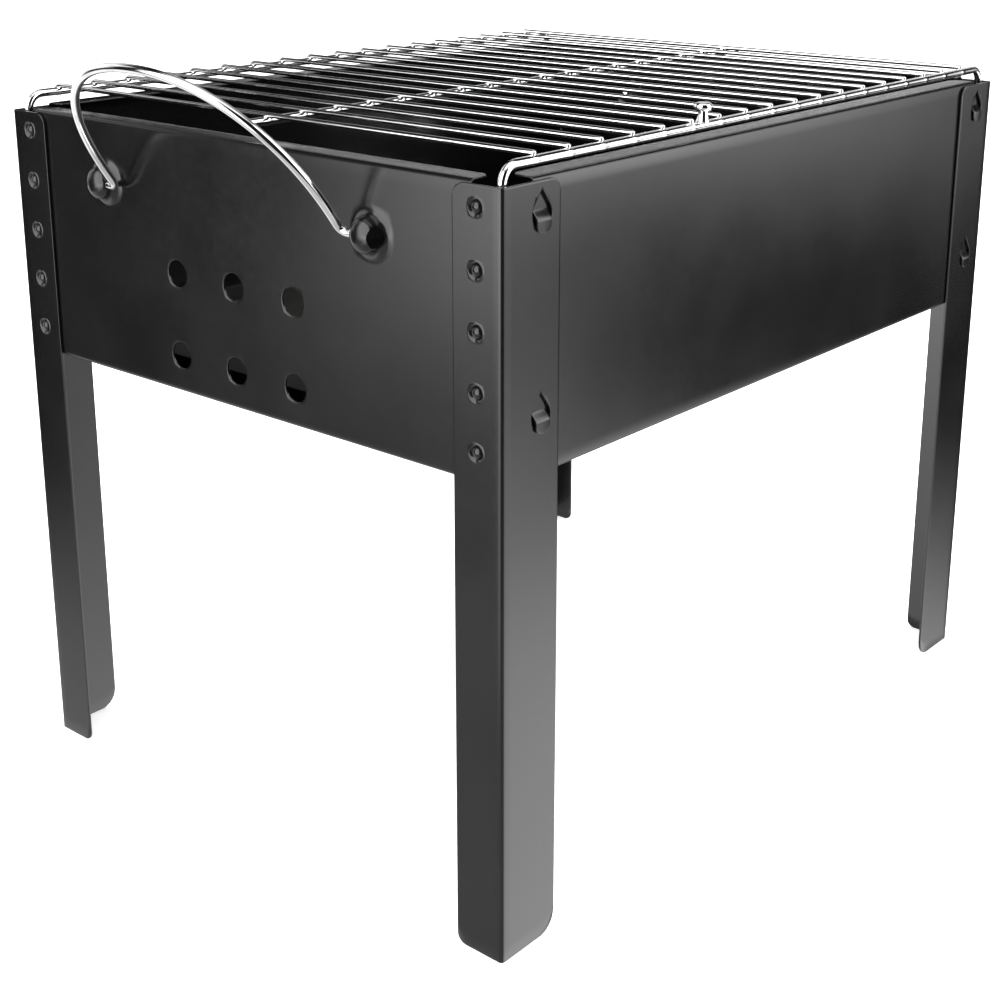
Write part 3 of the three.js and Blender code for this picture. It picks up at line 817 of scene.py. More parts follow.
@dataclass
class Legs:
    """The four angle legs with their windows, dimples and rivets."""

    shop: Shop
    window: Window
    insets: dict[End, float]  # of the windows, from the ends of the grill
    sheet: float = 1.2
    bend: float = 2.0
    side_foot_radius: float = 10.0
    end_foot_radius: float = 5.0
    top_radius: float = 6.0
    edge: float = 0.34
    dimple_rim: float = 4.4
    dimple_lip: float = 0.25
    dimple_floor: float = 1.0
    rivets: int = 5
    rivet_head: float = 2.5
    rivet_head_height: float = 1.45
    rivet_head_skirt: float = 0.1
    rivet_shank: float = 2.0
    rivet_tail: float = 2.8
    rivet_tail_height: float = 0.9

    def build(self) -> None:
        """Makes every leg and rivet."""
        for end in End:
            for side in Side:
                self._leg(end, side)
                for number in range(1, self.rivets + 1):
                    self._rivet(end, side, number)

    def _dimple(self, place: float, height: float) -> Feature:
        """The pressed seat of a rivet: a low lip, a steep wall and a flat floor."""
        ring = np.linspace(0, 1, 10)
        rise = self.dimple_lip * np.sin(math.pi * smooth_step(ring, 0.72, 1.0)) ** 2
        sink = -self.dimple_floor * (1 - smooth_step(ring, 0.50, 0.84))
        profile = np.stack([ring, rise + sink], axis=-1)
        half = 0.78 * self.dimple_rim
        return Feature((place, height), (half, half), 1.45, circle_rim(self.dimple_rim), profile, cells=9)

    def _leg(self, end: End, side: Side) -> None:
        """One leg: a developed sheet with its features, folded at the corner and thickened."""
        name = f"leg_{end.name.lower()}_{side.name.lower()}"
        low, high = box_mm(name)
        end_width, side_width, top = high[0] - low[0], high[1] - low[1], high[2]
        runs = (end_width - self.bend, side_width - self.bend)
        line = FoldedLine((end_width, 0), math.pi, runs, self.bend)
        breaks = line.breaks()
        total = breaks[-1]
        rivet_nodes = [f"rivet_{end.name.lower()}_{side.name.lower()}_{i + 1}" for i in range(self.rivets)]
        rivet_places = [middle_mm(node) for node in rivet_nodes]
        corner_x = side.value * max(abs(low[0]), abs(high[0]))
        features = [self._dimple(end_width - abs(corner_x - p[0]), p[2]) for p in rivet_places]
        window_place = breaks[2] + self.insets[end] - self.bend
        features += [self.window.feature(window_place, top - drop) for drop in self.window.drops]

        round_part = np.sin(np.linspace(0, QUARTER, 8))
        widest = max(self.side_foot_radius, self.top_radius)
        needed_a = [*np.linspace(breaks[1], breaks[2], 7), 0, total]
        wished_a = [*(self.top_radius * (1 - round_part)), *(total - widest * (1 - round_part))]
        needed_b = [0, self.side_foot_radius * 3, top - self.top_radius * 3, top]
        flat = with_features(features, (needed_a, needed_b), (wished_a, []), (4.0, 9.0))
        height = np.zeros(flat.shape[:2])
        cell_middle = (flat[:-1, :-1] + flat[1:, 1:]) / 2
        keep = np.ones(cell_middle.shape[:2], bool)
        for feature in features:
            flat, height = feature.warp(flat, height)
            keep &= ~feature.dropped(cell_middle)
        flat = self._with_round_corners(flat, total, top)
        plan, outward = line.at(flat[..., 0])
        plan = plan + outward * height[..., None]
        points = np.concatenate([plan, flat[..., 1:]], axis=-1)
        normals = np.concatenate([outward, np.zeros_like(height)[..., None]], axis=-1)
        skin = sheet_surface(points, normals, keep).mirrored(-side.value, -end.value)
        corner_y = end.value * max(abs(low[1]), abs(high[1]))
        piece = skin.moved(corner_x, corner_y).to_object("fine_" + name)
        thickened(piece, self.sheet, self.edge)
        self.shop.place(piece, name, "root", Slot.BLACK_PAINT)

    def _with_round_corners(self, flat: np.ndarray, total: float, top: float) -> np.ndarray:
        """Rounds the free corners of both flanges.

        The lower edge rises, and the upper one sinks, by the corner's drop, which fades to nothing
        within three radii of the edge.
        """
        a, b = flat[..., 0], flat[..., 1]
        from_end, from_side = a, total - a
        lift = corner_drop(from_end, self.end_foot_radius) + corner_drop(from_side, self.side_foot_radius)
        drop = corner_drop(from_end, self.top_radius) + corner_drop(from_side, self.top_radius)
        lower = np.clip(1 - b / (3 * self.side_foot_radius), 0, 1)
        upper = np.clip(1 - (top - b) / (3 * self.top_radius), 0, 1)
        return np.stack([a, b + lift * lower - drop * upper], axis=-1)

    def _rivet(self, end: End, side: Side, number: int) -> None:
        """One rivet: a domed head, a shank and a rounded tail, turned to lie along Y."""
        name = f"rivet_{end.name.lower()}_{side.name.lower()}_{number}"
        low, high = box_mm(name)
        length = high[1] - low[1]
        dome = np.linspace(0, QUARTER, 9)
        under_head = length - self.rivet_head_height - self.rivet_head_skirt
        head_z = length - self.rivet_head_height * (1 - np.cos(dome))
        head = np.stack([self.rivet_head * np.sin(dome), head_z], axis=-1)
        under = np.array(
            [
                [self.rivet_head, under_head],
                [self.rivet_shank, under_head],
                [self.rivet_shank, self.rivet_tail_height],
                [self.rivet_tail, self.rivet_tail_height],
            ]
        )
        foot_z = self.rivet_tail_height * (1 - np.sin(dome))
        foot = np.stack([self.rivet_tail * np.cos(dome), foot_z], axis=-1)
        profile = np.concatenate([head, under, foot[1:]])
        turned = revolved(profile, 24).turned_about_x(-end.value * QUARTER)
        outer_y = high[1] if end is End.REAR else low[1]
        middle = (low + high) / 2
        piece = turned.moved(middle[0], outer_y - end.value * length, middle[2]).to_object("fine_" + name)
        piece.data.set_sharp_from_angle(angle=math.radians(40))
        self.shop.place(piece, name, "root", Slot.RIVET_PAINT)


# ---------------------------------------------------------------- panels


@dataclass
class Panel:
    """A panel folded inward along its top and bottom, drawn with its outer face at y = 0."""

    half_length: float
    low: float
    high: float
    bottom_fold: float
    top_fold: float
    top_half: float  # half the length of the top fold
    bottom_half: Optional[float]  # half the length of the bottom fold, or None for all of it
    bend: float = 2.0
    fold_corner: float = 6.0

    def line(self) -> FoldedLine:
        """The section, from the bottom fold's free edge round to the top fold's."""
        flat_face = self.high - self.low - 2 * self.bend
        runs = (self.bottom_fold - self.bend, flat_face, self.top_fold - self.bend)
        return FoldedLine((self.bottom_fold, self.low), math.pi, runs, self.bend)

    def distance_at(self, height: float) -> float:
        """How far round the section a height on the face is."""
        return self.line().breaks()[2] + height - self.low - self.bend

    def skin(self, features: Sequence[Feature]) -> Surface:
        """The panel's outer face with its folds, features and rounded fold ends.

        Args:
            features: holes and pressings, by their place along the panel and round its section.

        Returns:
            The outer face as an open surface.
        """
        line = self.line()
        breaks = line.breaks()
        round_part = self.fold_corner * (1 - np.sin(np.linspace(0, QUARTER, 8)))
        needed_a = [-self.half_length, 0, self.half_length]
        wished_a: list[float] = []
        for half in (self.top_half, self.bottom_half):
            if half is not None:
                needed_a += [-half, half]
                wished_a += [*(half - round_part), *(round_part - half)]
        needed_b = [*breaks, *np.linspace(breaks[1], breaks[2], 7), *np.linspace(breaks[3], breaks[4], 7)]
        flat = with_features(features, (needed_a, needed_b), (wished_a, []), (9.0, 5.0))
        middle = (flat[:-1, :-1] + flat[1:, 1:]) / 2
        keep = ~((np.abs(middle[..., 0]) > self.top_half) & (middle[..., 1] > breaks[3]))
        if self.bottom_half is not None:
            keep &= ~((np.abs(middle[..., 0]) > self.bottom_half) & (middle[..., 1] < breaks[2]))
        height = np.zeros(flat.shape[:2])
        for feature in features:
            flat, height = feature.warp(flat, height)
            keep &= ~feature.dropped(middle)
        flat = self._with_round_folds(flat, breaks)
        section, outward = line.at(flat[..., 1])
        section = section + outward * height[..., None]
        along = flat[..., :1]
        normals = np.concatenate([np.zeros_like(along), outward], axis=-1)
        return sheet_surface(np.concatenate([along, section], axis=-1), normals, keep)

    def _with_round_folds(self, flat: np.ndarray, breaks: np.ndarray) -> np.ndarray:
        """Rounds the free corners of the folds: their free edges draw back by the corner's drop."""
        a, b = flat[..., 0], flat[..., 1]
        top_share = np.clip((b - breaks[4]) / (breaks[5] - breaks[4]), 0, 1)
        b = b - corner_drop(self.top_half - np.abs(a), self.fold_corner) * top_share * (
            np.abs(a) <= self.top_half + 0.01
        )
        if self.bottom_half is not None:
            low_share = np.clip(1 - b / breaks[1], 0, 1)
            b = b + corner_drop(self.bottom_half - np.abs(a), self.fold_corner) * low_share * (
                np.abs(a) <= self.bottom_half + 0.01
            )
        return np.stack([a, b], axis=-1)


@dataclass
class EndPanels:
    """The two end panels with their vents and the pressed bosses that hold the handles."""

    shop: Shop
    sheet: float = 1.0
    edge: float = 0.34
    top_fold: float = 12.5
    shelf: float = 20.0
    fold_half: float = 143.0
    vent_radius: float = 6.5
    vent_pitch: float = 39.0
    vent_drops: tuple[float, float] = (66.5, 105.7)
    boss_places: tuple[float, float] = (-88.5, 88.5)
    boss_radius: float = 7.6
    boss_height: float = 8.2
    boss_fillet: float = 4.4
    pivot_standoff: float = 4.2
    wire_room: float = 2.3  # radius of the hole that a handle's end goes in through
    mouth: tuple[float, float] = (3.5, 5.0)  # half sizes of the opening outboard in a front boss
    mouth_start: float = 2.5  # from the boss's middle

    def build(self) -> None:
        """Makes both end panels."""
        for end in End:
            self._panel(end)

    def _boss(self, place: float, distance: float) -> Feature:
        """A boss: the quarter of a squarish ellipse for its dome, then a concave quarter round its foot."""
        dome = np.linspace(0, QUARTER, 12)
        squareness = 2 / 2.3
        dome_radius = self.boss_radius * np.sin(dome) ** squareness
        dome_height = self.boss_fillet + (self.boss_height - self.boss_fillet) * np.cos(dome) ** squareness
        foot = np.linspace(0, QUARTER, 7)[1:]
        rim = self.boss_radius + self.boss_fillet
        foot_radius = rim - self.boss_fillet * np.cos(foot)
        foot_height = self.boss_fillet * (1 - np.sin(foot))
        radii = np.concatenate([dome_radius, foot_radius])
        heights = np.concatenate([dome_height, foot_height])
        profile = np.stack([radii / rim, heights], axis=-1)
        half = 0.8 * rim
        return Feature((place, distance), (half, half), 1.5, circle_rim(rim), profile, cells=17)

    def _opening_cutter(self, place: float, height: float, end: End) -> Surface:
        """A bar along X through a boss: round where the wire goes in, and oval on its outboard side."""
        angle = np.arange(40) * 2 * math.pi / 40
        outboard = math.copysign(1.0, place)
        reach = self.boss_radius + 6
        mouth = self.mouth if end is End.FRONT else (self.wire_room, self.wire_room)
        stations = [
            (-reach, (self.wire_room, self.wire_room)),
            (self.mouth_start - 1.5, (self.wire_room, self.wire_room)),
            (self.mouth_start, mouth),
            (reach, mouth),
        ]
        rings = [
            np.stack(
                [
                    np.full_like(angle, place + outboard * x),
                    half[0] * np.cos(angle) - self.pivot_standoff,
                    half[1] * np.sin(angle) + height,
                ],
                axis=-1,
            )
            for x, half in stations
        ]
        return Surface.of_rings(np.stack(rings))

    def _panel(self, end: End) -> None:
        """One end panel, made facing -Y and turned to its end."""
        name = f"end_panel_{end.name.lower()}"
        low, high = box_mm(name)
        pivot_height = joint_mm(f"handle_{end.name.lower()}_swing")[2]
        panel = Panel(high[0], low[2], high[2], self.shelf, self.top_fold, self.fold_half, self.fold_half)
        features = [self._boss(place, panel.distance_at(pivot_height)) for place in self.boss_places]
        for drop in self.vent_drops:
            for column in (-1, 0, 1):
                centre = (column * self.vent_pitch, panel.distance_at(high[2] - drop))
                half = 0.8 * self.vent_radius
                features.append(Feature(centre, (half, half), 1.7, circle_rim(self.vent_radius), cells=7))
        face_y = self.face(low, high, end)
        turn = 0.0 if end is End.FRONT else math.pi
        skin = panel.skin(features)
        piece = skin.turned_about_z(turn).moved(y=face_y).to_object("fine_" + name)
        thickened(piece, self.sheet, self.edge)
        cutters = [self._opening_cutter(place, pivot_height, end) for place in self.boss_places]
        cut_by(piece, Surface.joined(cutters).turned_about_z(turn).moved(y=face_y))
        self.shop.place(piece, name, "root", Slot.BLACK_PAINT)

    def face(self, low: np.ndarray, high: np.ndarray, end: End) -> float:
        """Where the panel's flat outer face is in Y, behind the bosses that stand out of it."""
        return high[1] - self.boss_height if end is End.REAR else low[1] + self.boss_height


@dataclass
class SidePanels:
    """The two side panels with the lanced tongues that hang in the windows of the legs."""

    shop: Shop
    window: Window
    insets: dict[End, float]
    sheet: float = 1.0
    edge: float = 0.34
    top_fold: float = 12.5
    bottom_fold: float = 12.5
    fold_half: float = 190.0
    tongue_half: float = 4.4
    tongue_stand: float = 2.8  # of its outer face, out of the panel's face
    tongue_top: float = 8.6  # above the window's lower edge
    tongue_drop: float = 1.5  # below it
    tongue_root: float = 0.3  # how far its top starts inside the panel's face
    tongue_out: float = 3.4  # above the window's lower edge, where it is all the way out
    tongue_crown: float = 0.1  # how far its sides lie behind its middle
    tongue_round: float = 1.6  # above it, where its lower end starts to close
    lift_play: float = 2.0
    side_play: float = 0.55

    def build(self) -> None:
        """Makes both side panels."""
        for side in Side:
            self._panel(side)

    def _tongue(self, place: float, lower_edge: float) -> Surface:
        """A tongue's outer face: a strip that swells out of the panel and drops outside the leg.

        It goes down in even steps of an eased share t. Its stand is a smooth step of the height, its
        half width follows the window's with some play, and its lower end closes as an ellipse.
        """
        height = np.linspace(self.tongue_top, -self.tongue_drop, 30)
        swell = smooth_step(-height, -self.tongue_top, -self.tongue_out)
        stand = (self.tongue_stand + self.tongue_root) * swell - self.tongue_root
        room = self.window.half_width(height + self.lift_play) - self.side_play
        half = np.clip(np.where(height > 3, room, self.tongue_half), 0.5, self.tongue_half)
        end = np.clip((self.tongue_round - height) / (self.tongue_round + self.tongue_drop + 0.25), 0, 1)
        half = half * np.sqrt(1 - end**2)
        across = np.linspace(-1, 1, 13)
        y = place + half[:, None] * across
        x = -(stand[:, None] - self.tongue_crown * across**2)
        z = np.repeat((lower_edge + height)[:, None], len(across), axis=1)
        points = np.stack([x, y, z], axis=-1)
        outward = np.broadcast_to(np.array([-1.0, 0, 0]), points.shape)
        return sheet_surface(points, outward, np.ones((29, 12), bool))

    def _panel(self, side: Side) -> None:
        """One side panel, made facing -X with its length along Y, and mirrored to its side."""
        name = f"side_panel_{side.name.lower()}"
        low, high = box_mm(name)
        half_length = (high[1] - low[1]) / 2
        panel = Panel(half_length, low[2], high[2], self.bottom_fold, self.top_fold, self.fold_half, None)
        face = panel.skin([]).turned_about_z(-QUARTER)
        leg_low, leg_high = box_mm("leg_front_right")
        half_grill = abs(leg_low[1])
        tongues = [
            self._tongue(end.value * (half_grill - self.insets[end]), leg_high[2] - drop)
            for end in End
            for drop in self.window.drops
        ]
        skin = Surface.joined([face, *tongues]).mirrored(-side.value, 1)
        outer = max(abs(low[0]), abs(high[0])) - self.tongue_stand
        piece = skin.moved(x=side.value * outer).to_object("fine_" + name)
        thickened(piece, self.sheet, self.edge)
        self.shop.place(piece, name, name, Slot.BLACK_PAINT)


# ---------------------------------------------------------------- tray


@dataclass
class Tray:
    """The charcoal tray: a shallow pressed pan with round corners and a soft fold at its floor."""

    shop: Shop
    sheet: float = 0.8
    corner: float = 8.0
    floor_fold: float = 2.2
    side_steps: int = 14
    floor_rings: tuple[float, ...] = (0.97, 0.8, 0.6, 0.4, 0.2, 0.1)  # insets, in half widths

    def build(self) -> None:
        """Makes the tray from rings that run in over the floor, up the wall and back under it."""
        low, high = box_mm("charcoal_tray")
        half = (high[:2] - low[:2]) / 2
        wall_top = high[2]
        fold = np.linspace(0, QUARTER, 6)
        outer_inset = self.floor_fold * (1 - np.sin(fold))
        outer_rise = self.floor_fold * (1 - np.cos(fold))
        inner_fold = self.floor_fold - self.sheet
        inner_inset = self.sheet + inner_fold * (1 - np.sin(fold))
        inner_rise = self.sheet + inner_fold * (1 - np.cos(fold))
        floor = np.array(self.floor_rings) * half[0]
        edge = self.sheet / 2
        rim = np.linspace(0, math.pi, 7)
        rim_inset = edge * (1 - np.cos(rim))
        rim_rise = wall_top - low[2] - edge + edge * np.sin(rim)
        inset = np.concatenate([floor, outer_inset, rim_inset, inner_inset[::-1], floor[::-1]])
        rise = np.concatenate(
            [np.zeros_like(floor), outer_rise, rim_rise, inner_rise[::-1], np.full_like(floor, self.sheet)]
        )
        rings = np.stack([self._ring(half - i, low[2] + r) for i, r in zip(inset, rise)])
        piece = Surface.of_rings(rings).to_object("fine_charcoal_tray")
        piece.data.set_sharp_from_angle(angle=math.radians(40))
        self.shop.place(piece, "charcoal_tray", "charcoal_tray", Slot.TRAY_PAINT)

    def _ring(self, half: np.ndarray, height: float) -> np.ndarray:
        """A rectangle with round corners: four quarter circles, each round its own corner's centre."""
        radius = max(min(self.corner, half.min()), 0.5)
        angle = np.concatenate([q * QUARTER + np.linspace(0, QUARTER, self.side_steps) for q in range(4)])
        sign_x = np.repeat([1, -1, -1, 1], self.side_steps)
        sign_y = np.repeat([1, 1, -1, -1], self.side_steps)
        x = sign_x * (half[0] - radius) + radius * np.cos(angle)
        y = sign_y * (half[1] - radius) + radius * np.sin(angle)
        return np.stack([x, y, np.full_like(x, height)], axis=-1)


# ---------------------------------------------------------------- handles


@dataclass
class Handles:
    """The two wire bail handles."""

    shop: Shop
    lean: dict[End, float]  # outward from upright
    radius: float = 2.0
    half_width: float = 75.0
    rise: float = 79.0
    foot_bend: float = 4.0
    tail_end: float = 89.0
    roundness: float = 2.2
    evenness: float = 0.055  # how far the grip's stations shift towards its corners

    def build(self) -> None:
        """Makes both handles."""
        for end in End:
            self._handle(end)

    def _path(self) -> np.ndarray:
        """The wire in its own plane, X across and Z up from the axis.

        The grip is a superellipse: x = w |cos t|^p and z = foot + (h - foot) |sin t|^p with p = 2 /
        roundness. A quarter circle joins it to each tail, which lies on the axis.
        """
        turn = np.linspace(-QUARTER, -math.pi, 9)
        foot_x = self.half_width + self.foot_bend * (1 + np.cos(turn))
        foot_z = self.foot_bend * (1 + np.sin(turn))
        tail_x = np.linspace(self.tail_end - self.radius, self.half_width + self.foot_bend, 6)[:-1]
        t = np.linspace(0, math.pi, 121)
        even = t - self.evenness * np.sin(4 * t)
        power = 2 / self.roundness
        grip_x = self.half_width * np.sign(np.cos(even)) * np.abs(np.cos(even)) ** power
        grip_z = self.foot_bend + (self.rise - self.foot_bend) * np.abs(np.sin(even)) ** power
        right = np.stack([np.concatenate([tail_x, foot_x]), np.concatenate([0 * tail_x, foot_z])], axis=-1)
        left = (right * [-1, 1])[::-1]
        grip = np.stack([grip_x, grip_z], axis=-1)[1:-1]
        plane = np.concatenate([right, grip, left])
        return np.stack([plane[:, 0], np.zeros(len(plane)), plane[:, 1]], axis=-1)

    def _handle(self, end: End) -> None:
        """One handle, leaning out from its end of the grill."""
        name = f"handle_{end.name.lower()}"
        path = self._path()
        bent = wire(path, np.full(len(path), self.radius), (0, 1, 0), 20)
        axis = joint_mm(f"{name}_swing")
        placed = bent.turned_about_x(-end.value * self.lean[end]).moved(y=axis[1], z=axis[2])
        piece = placed.to_object("fine_" + name)
        self.shop.place(piece, name, name, Slot.CHROME)


# ---------------------------------------------------------------- grate


@dataclass
class Grate:
    """The wire grate: two bent side rods, a centre rod, cross wires welded on, and a knob."""

    shop: Shop
    rod_radius: float = 2.0
    wire_radius: float = 1.2
    bend: float = 8.0
    peg_drop: float = 22.0
    wrap: float = math.radians(125)
    wires: int = 18
    weld_swell: float = 0.45
    weld_width: float = 1.5
    side_swell_share: float = 0.25
    weld_sink: float = 0.8
    knob_head_share: float = 0.48  # of the knob's height
    knob_stem: float = 2.2
    knob_stem_flare: float = 1.2
    knob_root: float = 0.6  # how far the stem goes into the rod

    def build(self) -> None:
        """Makes the whole grate."""
        crossings = np.array([middle_mm(self._wire_name(i))[1] for i in range(self.wires)])
        for side in Side:
            self._side_rod(side, crossings)
        self._centre_rod(crossings)
        for number in range(self.wires):
            self._cross_wire(number)
        self._knob()

    def _wire_name(self, number: int) -> str:
        """The CAD node of a cross wire."""
        return f"grate_wire_{number + 1:02d}"

    def _swelling(self, along: np.ndarray, crossings: np.ndarray) -> np.ndarray:
        """How far weld metal thickens a rod: a bell curve round each crossing."""
        gap = (along[:, None] - crossings) / self.weld_width
        return self.weld_swell * np.exp(-(gap**2)).sum(axis=1)

    def _stations(self, reach: float, crossings: np.ndarray) -> np.ndarray:
        """Places along a rod, close together where a wire crosses it."""
        near = (crossings[:, None] + np.linspace(-3, 3, 7)).ravel()
        spread = np.linspace(-reach, reach, 25)
        inside = near[np.abs(near) < reach - 0.5]
        return np.array(grid_lines([-reach, reach], [*inside, *spread], 12.0))

    def _side_rod(self, side: Side, crossings: np.ndarray) -> None:
        """A side rod: straight along Y, and bent down into a peg at each end by a quarter circle."""
        name = f"grate_rod_{side.name.lower()}"
        low, high = box_mm(name)
        reach = high[1] - self.rod_radius
        top = high[2] - self.rod_radius
        turn = np.linspace(0, QUARTER, 12)
        bend_y = reach - self.bend * (1 - np.cos(turn))
        bend_z = top - self.bend * (1 - np.sin(turn))
        bottom = top - self.peg_drop + self.rod_radius
        peg_z = np.linspace(bottom, top - self.bend, 4)[:-1]
        half_y = np.concatenate([np.full_like(peg_z, reach), bend_y])
        half = np.stack([half_y, np.concatenate([peg_z, bend_z])], axis=-1)
        straight_y = self._stations(reach - self.bend, crossings)[1:-1][::-1]
        straight = np.stack([straight_y, np.full_like(straight_y, top)], axis=-1)
        plane = np.concatenate([half, straight, (half * [-1, 1])[::-1]])
        x = side.value * (max(abs(low[0]), abs(high[0])) - self.rod_radius)
        path = np.stack([np.full(len(plane), x), plane[:, 0], plane[:, 1]], axis=-1)
        on_top = np.exp(-(((plane[:, 1] - top) / 1.0) ** 2))
        radius = self.rod_radius + self.side_swell_share * self._swelling(plane[:, 0], crossings) * on_top
        piece = wire(path, radius, (1, 0, 0), 18).to_object("fine_" + name)
        self.shop.place(piece, name, "grate", Slot.CHROME)

    def _centre_rod(self, crossings: np.ndarray) -> None:
        """The straight rod under the middle of the cross wires."""
        low, high = box_mm("grate_rod_centre")
        middle = (low + high) / 2
        y = self._stations(high[1] - self.rod_radius, crossings)
        path = np.stack([np.full_like(y, middle[0]), y, np.full_like(y, middle[2])], axis=-1)
        radius = self.rod_radius + self._swelling(y, crossings)
        piece = wire(path, radius, (1, 0, 0), 18).to_object("fine_grate_rod_centre")
        self.shop.place(piece, "grate_rod_centre", "grate", Slot.CHROME)

    def _cross_wire(self, number: int) -> None:
        """A cross wire: straight over the rods, and wrapped round the left one."""
        name = self._wire_name(number)
        _, high = box_mm(name)
        rod_low, rod_high = box_mm("grate_rod_left")
        rod_x = rod_low[0] + self.rod_radius
        rod_z = rod_high[2] - self.rod_radius
        wrap_radius = high[2] - self.wire_radius - self.weld_sink - rod_z
        top = rod_z + wrap_radius
        turn = np.linspace(QUARTER, QUARTER + self.wrap, 14)
        end_x = high[0] - self.wire_radius
        straight_x = np.linspace(end_x, rod_x, 40)[:-1]
        x = np.concatenate([straight_x, rod_x + wrap_radius * np.cos(turn)])
        z = np.concatenate([np.full_like(straight_x, top), rod_z + wrap_radius * np.sin(turn)])
        y = np.full_like(x, middle_mm(name)[1])
        path = np.stack([x, y, z], axis=-1)
        piece = wire(path, np.full_like(x, self.wire_radius), (0, 1, 0), 14).to_object("fine_" + name)
        self.shop.place(piece, name, "grate", Slot.CHROME)

    def _knob(self) -> None:
        """The knob: a waisted stem under a round, slightly domed head."""
        low, high = box_mm("grate_knob")
        middle = (low + high) / 2
        tall = high[2] - low[2]
        head = (high[0] - low[0]) / 2
        sweep = np.linspace(0, math.pi, 15)
        head_thick = self.knob_head_share * tall
        head_middle = tall - head_thick / 2
        bulge = 0.5 * head_thick
        side_r = head - bulge + bulge * np.sin(sweep)
        side_z = head_middle - bulge * np.cos(sweep)
        foot = np.linspace(0, 1, 8)
        stem_z = -self.knob_root + foot * (side_z[0] + self.knob_root)
        stem_r = self.knob_stem + self.knob_stem_flare * (1 - foot) ** 3
        crown_r = np.linspace(side_r[-1], 0.4, 6)
        crown_z = np.full_like(crown_r, tall)
        radius = np.concatenate([stem_r, side_r, crown_r[1:]])
        height = np.concatenate([stem_z, side_z, crown_z[1:]])
        profile = np.stack([radius, height], axis=-1)
        piece = revolved(profile, 28).moved(middle[0], middle[1], low[2]).to_object("fine_grate_knob")
        piece.data.set_sharp_from_angle(angle=math.radians(40))
        self.shop.place(piece, "grate_knob", "grate", Slot.CHROME)


# ---------------------------------------------------------------- studio


@dataclass(frozen=True)
class SoftBox:
    """A soft bright patch of the surroundings, by its span of azimuth and elevation in degrees."""

    azimuth: tuple[float, float]  # from the front, towards the right
    elevation: tuple[float, float]
    softness: tuple[float, float]
    strength: float


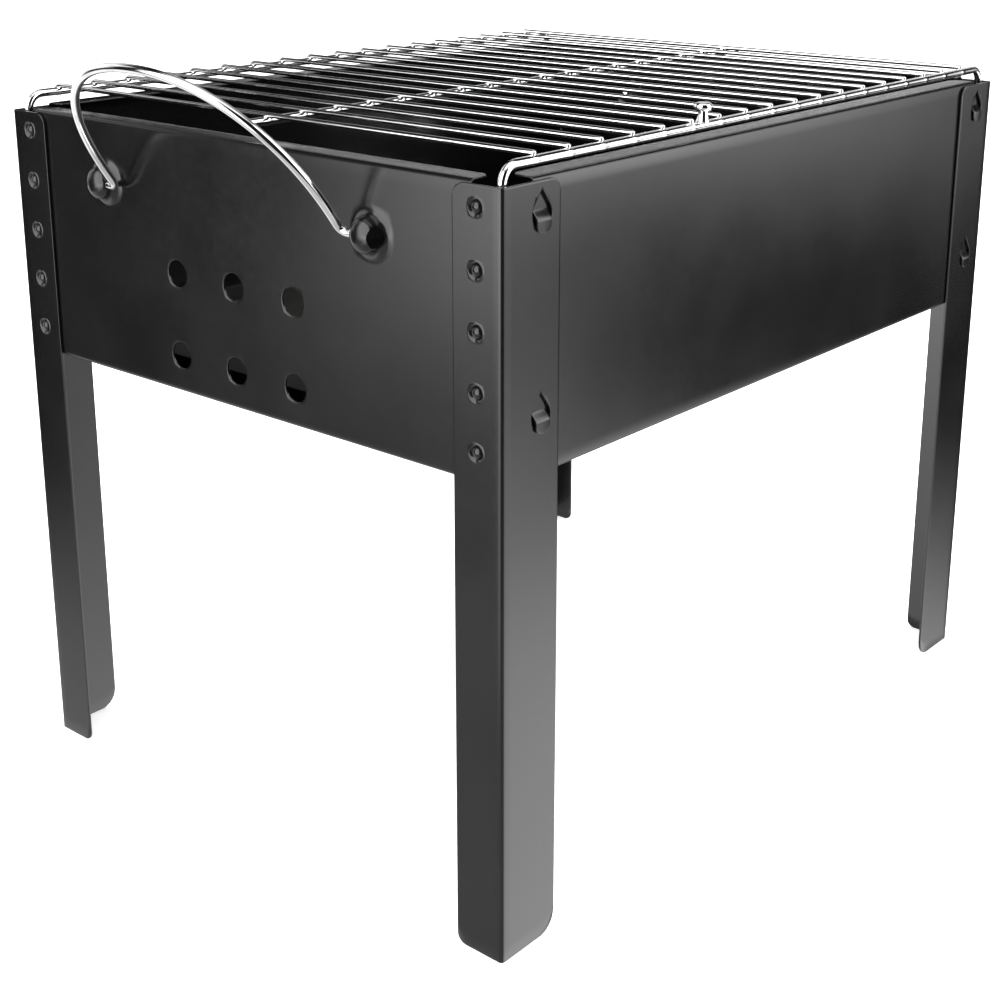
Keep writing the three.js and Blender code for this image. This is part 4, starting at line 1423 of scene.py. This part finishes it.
@dataclass
class Studio:
    """Floor, surroundings, lamps and camera."""

    floor_half: float = 6.0
    backdrop: float = 1.0
    ambient: float = 0.01
    floor_glow: float = 0.6
    lamp_power: float = 80.0
    lens: float = 60.3
    shift: float = -0.15
    azimuth: float = math.radians(40.69)
    elevation: float = math.radians(16.34)
    eye: tuple[float, float, float] = (564.7, -682.0, 460.0)  # in millimetres from the body's middle
    boxes: tuple[SoftBox, ...] = (
        SoftBox((-44, 20), (-15, 55), (5, 4), 4.0),
        SoftBox((-50, 20), (-26, -15), (4, 4), 0.4),
        SoftBox((95, 150), (-9.5, 55), (9, 3), 3.9),
        SoftBox((95, 142), (-22, -9), (2, 3), 1.3),
        SoftBox((95, 155), (-91, -22), (7, 5), 2.4),
        SoftBox((-31, 8), (-26, -8), (4, 4), 2.0),
        SoftBox((-181, -80), (-24, -4), (4, 4), 1.8),
        SoftBox((-181, -131), (-4, 34), (4, 4), 0.65),
        SoftBox((-116, -62), (-3, 34), (4, 4), 1.2),
        SoftBox((-130, -54), (-91, -22), (3, 3), 0.5),
        SoftBox((-181, 181), (-91, -24), (0, 3), 0.6),
        SoftBox((-181, 181), (60, 91), (0, 6), 1.2),
    )

    def build(self) -> None:
        """Sets up everything round the grill."""
        self._floor()
        self._surroundings()
        self._lamps()
        self._camera()
        bpy.context.scene.view_settings.view_transform = "Standard"

    def _floor(self) -> None:
        """A wide pale floor that the grill stands on."""
        half = self.floor_half / MM
        line = np.linspace(-half, half, 3)
        x, y = np.meshgrid(line, line, indexing="ij")
        floor = Surface.of_grid(np.stack([x, y, np.zeros_like(x)], axis=-1)).to_object("floor")
        pale = dressed(
            "pale floor",
            lambda tree: {
                "Base Color": tree.mixed(tree.noise(3.0), (0.93, 0.93, 0.93), (0.95, 0.95, 0.95)),
                "Roughness": 0.9,
                "Specular IOR Level": 0.0,
                "Emission Color": (1.0, 1.0, 1.0, 1.0),
                "Emission Strength": self.floor_glow,
            },
        )
        floor.data.materials.append(pale)
        floor.visible_glossy = False

    def _surroundings(self) -> None:
        """A white backdrop to look at, and soft boxes in the dark for everything that reflects."""
        world = bpy.data.worlds.new("studio")
        bpy.context.scene.world = world
        world.use_nodes = True
        tree = Tree(world.node_tree)
        direction = tree.node("ShaderNodeTexCoord", {}, {}).outputs["Generated"]
        parts = tree.node("ShaderNodeSeparateXYZ", {}, {0: direction})
        x, y, z = (Value(tree, parts.outputs[i]) for i in range(3))
        azimuth = tree.value("ShaderNodeMath", {"operation": "ARCTAN2"}, {0: x, 1: y * -1.0})
        elevation = tree.value("ShaderNodeMath", {"operation": "ARCSINE"}, {0: z})
        light: Number = self.ambient
        for box in self.boxes:
            light = light + self._patch(azimuth, elevation, box)
        seen = tree.value("ShaderNodeLightPath", {}, {}, "Is Camera Ray")
        strength = seen * self.backdrop + (1.0 - seen) * light
        ground = tree.node("ShaderNodeBackground", {}, {"Color": (1, 1, 1, 1), "Strength": strength})
        tree.node("ShaderNodeOutputWorld", {}, {"Surface": ground.outputs[0]})

    def _patch(self, azimuth: Value, elevation: Value, box: SoftBox) -> Value:
        """A soft box's brightness: smooth steps in and out along both angles, multiplied."""
        shape: Number = box.strength
        for angle, span, soft in (
            (azimuth, box.azimuth, box.softness[0]),
            (elevation, box.elevation, box.softness[1]),
        ):
            if soft == 0:
                continue
            low, high = (math.radians(edge) for edge in span)
            half = math.radians(soft)
            rising = angle.smooth(low - half, low + half)
            falling = 1.0 - angle.smooth(high - half, high + half)
            shape = shape * rising * falling
        return shape

    def _lamps(self) -> None:
        """One wide lamp overhead for the floor and the upward faces."""
        lamp = bpy.data.lights.new("overhead", "AREA")
        lamp.shape = "SQUARE"
        lamp.size = 2.4
        lamp.energy = self.lamp_power
        piece = bpy.data.objects.new("overhead", lamp)
        piece.location = (-0.2, 0.4, 2.2)
        piece.visible_glossy = False
        bpy.context.scene.collection.objects.link(piece)

    def _camera(self) -> None:
        """The camera, looking down a little from the front right."""
        lens = bpy.data.cameras.new("camera")
        lens.lens = self.lens
        lens.sensor_width = 36.0
        lens.shift_y = self.shift
        lens.dof.use_dof = False
        camera = bpy.data.objects.new("camera", lens)
        bpy.context.scene.collection.objects.link(camera)
        level = math.cos(self.elevation)
        back = Vector(
            (math.sin(self.azimuth) * level, -math.cos(self.azimuth) * level, math.sin(self.elevation))
        )
        camera.location = (np.array(self.eye) + BODY_MIDDLE) * MM
        camera.rotation_euler = (-back).to_track_quat("-Z", "Y").to_euler()
        bpy.context.scene.camera = camera


def main() -> None:
    """Builds the studio and the grill, sub-assembly by sub-assembly."""
    logging.basicConfig(level=logging.INFO, format="%(message)s")
    Studio().build()
    shop = Shop(Finishes())
    window = Window()
    insets = {End.FRONT: 24.0, End.REAR: 17.0}
    Legs(shop, window, insets).build()
    EndPanels(shop).build()
    SidePanels(shop, window, insets).build()
    Tray(shop).build()
    Handles(shop, {End.FRONT: math.radians(35), End.REAR: math.pi}).build()
    Grate(shop).build()


if __name__ == "__main__":
    main()
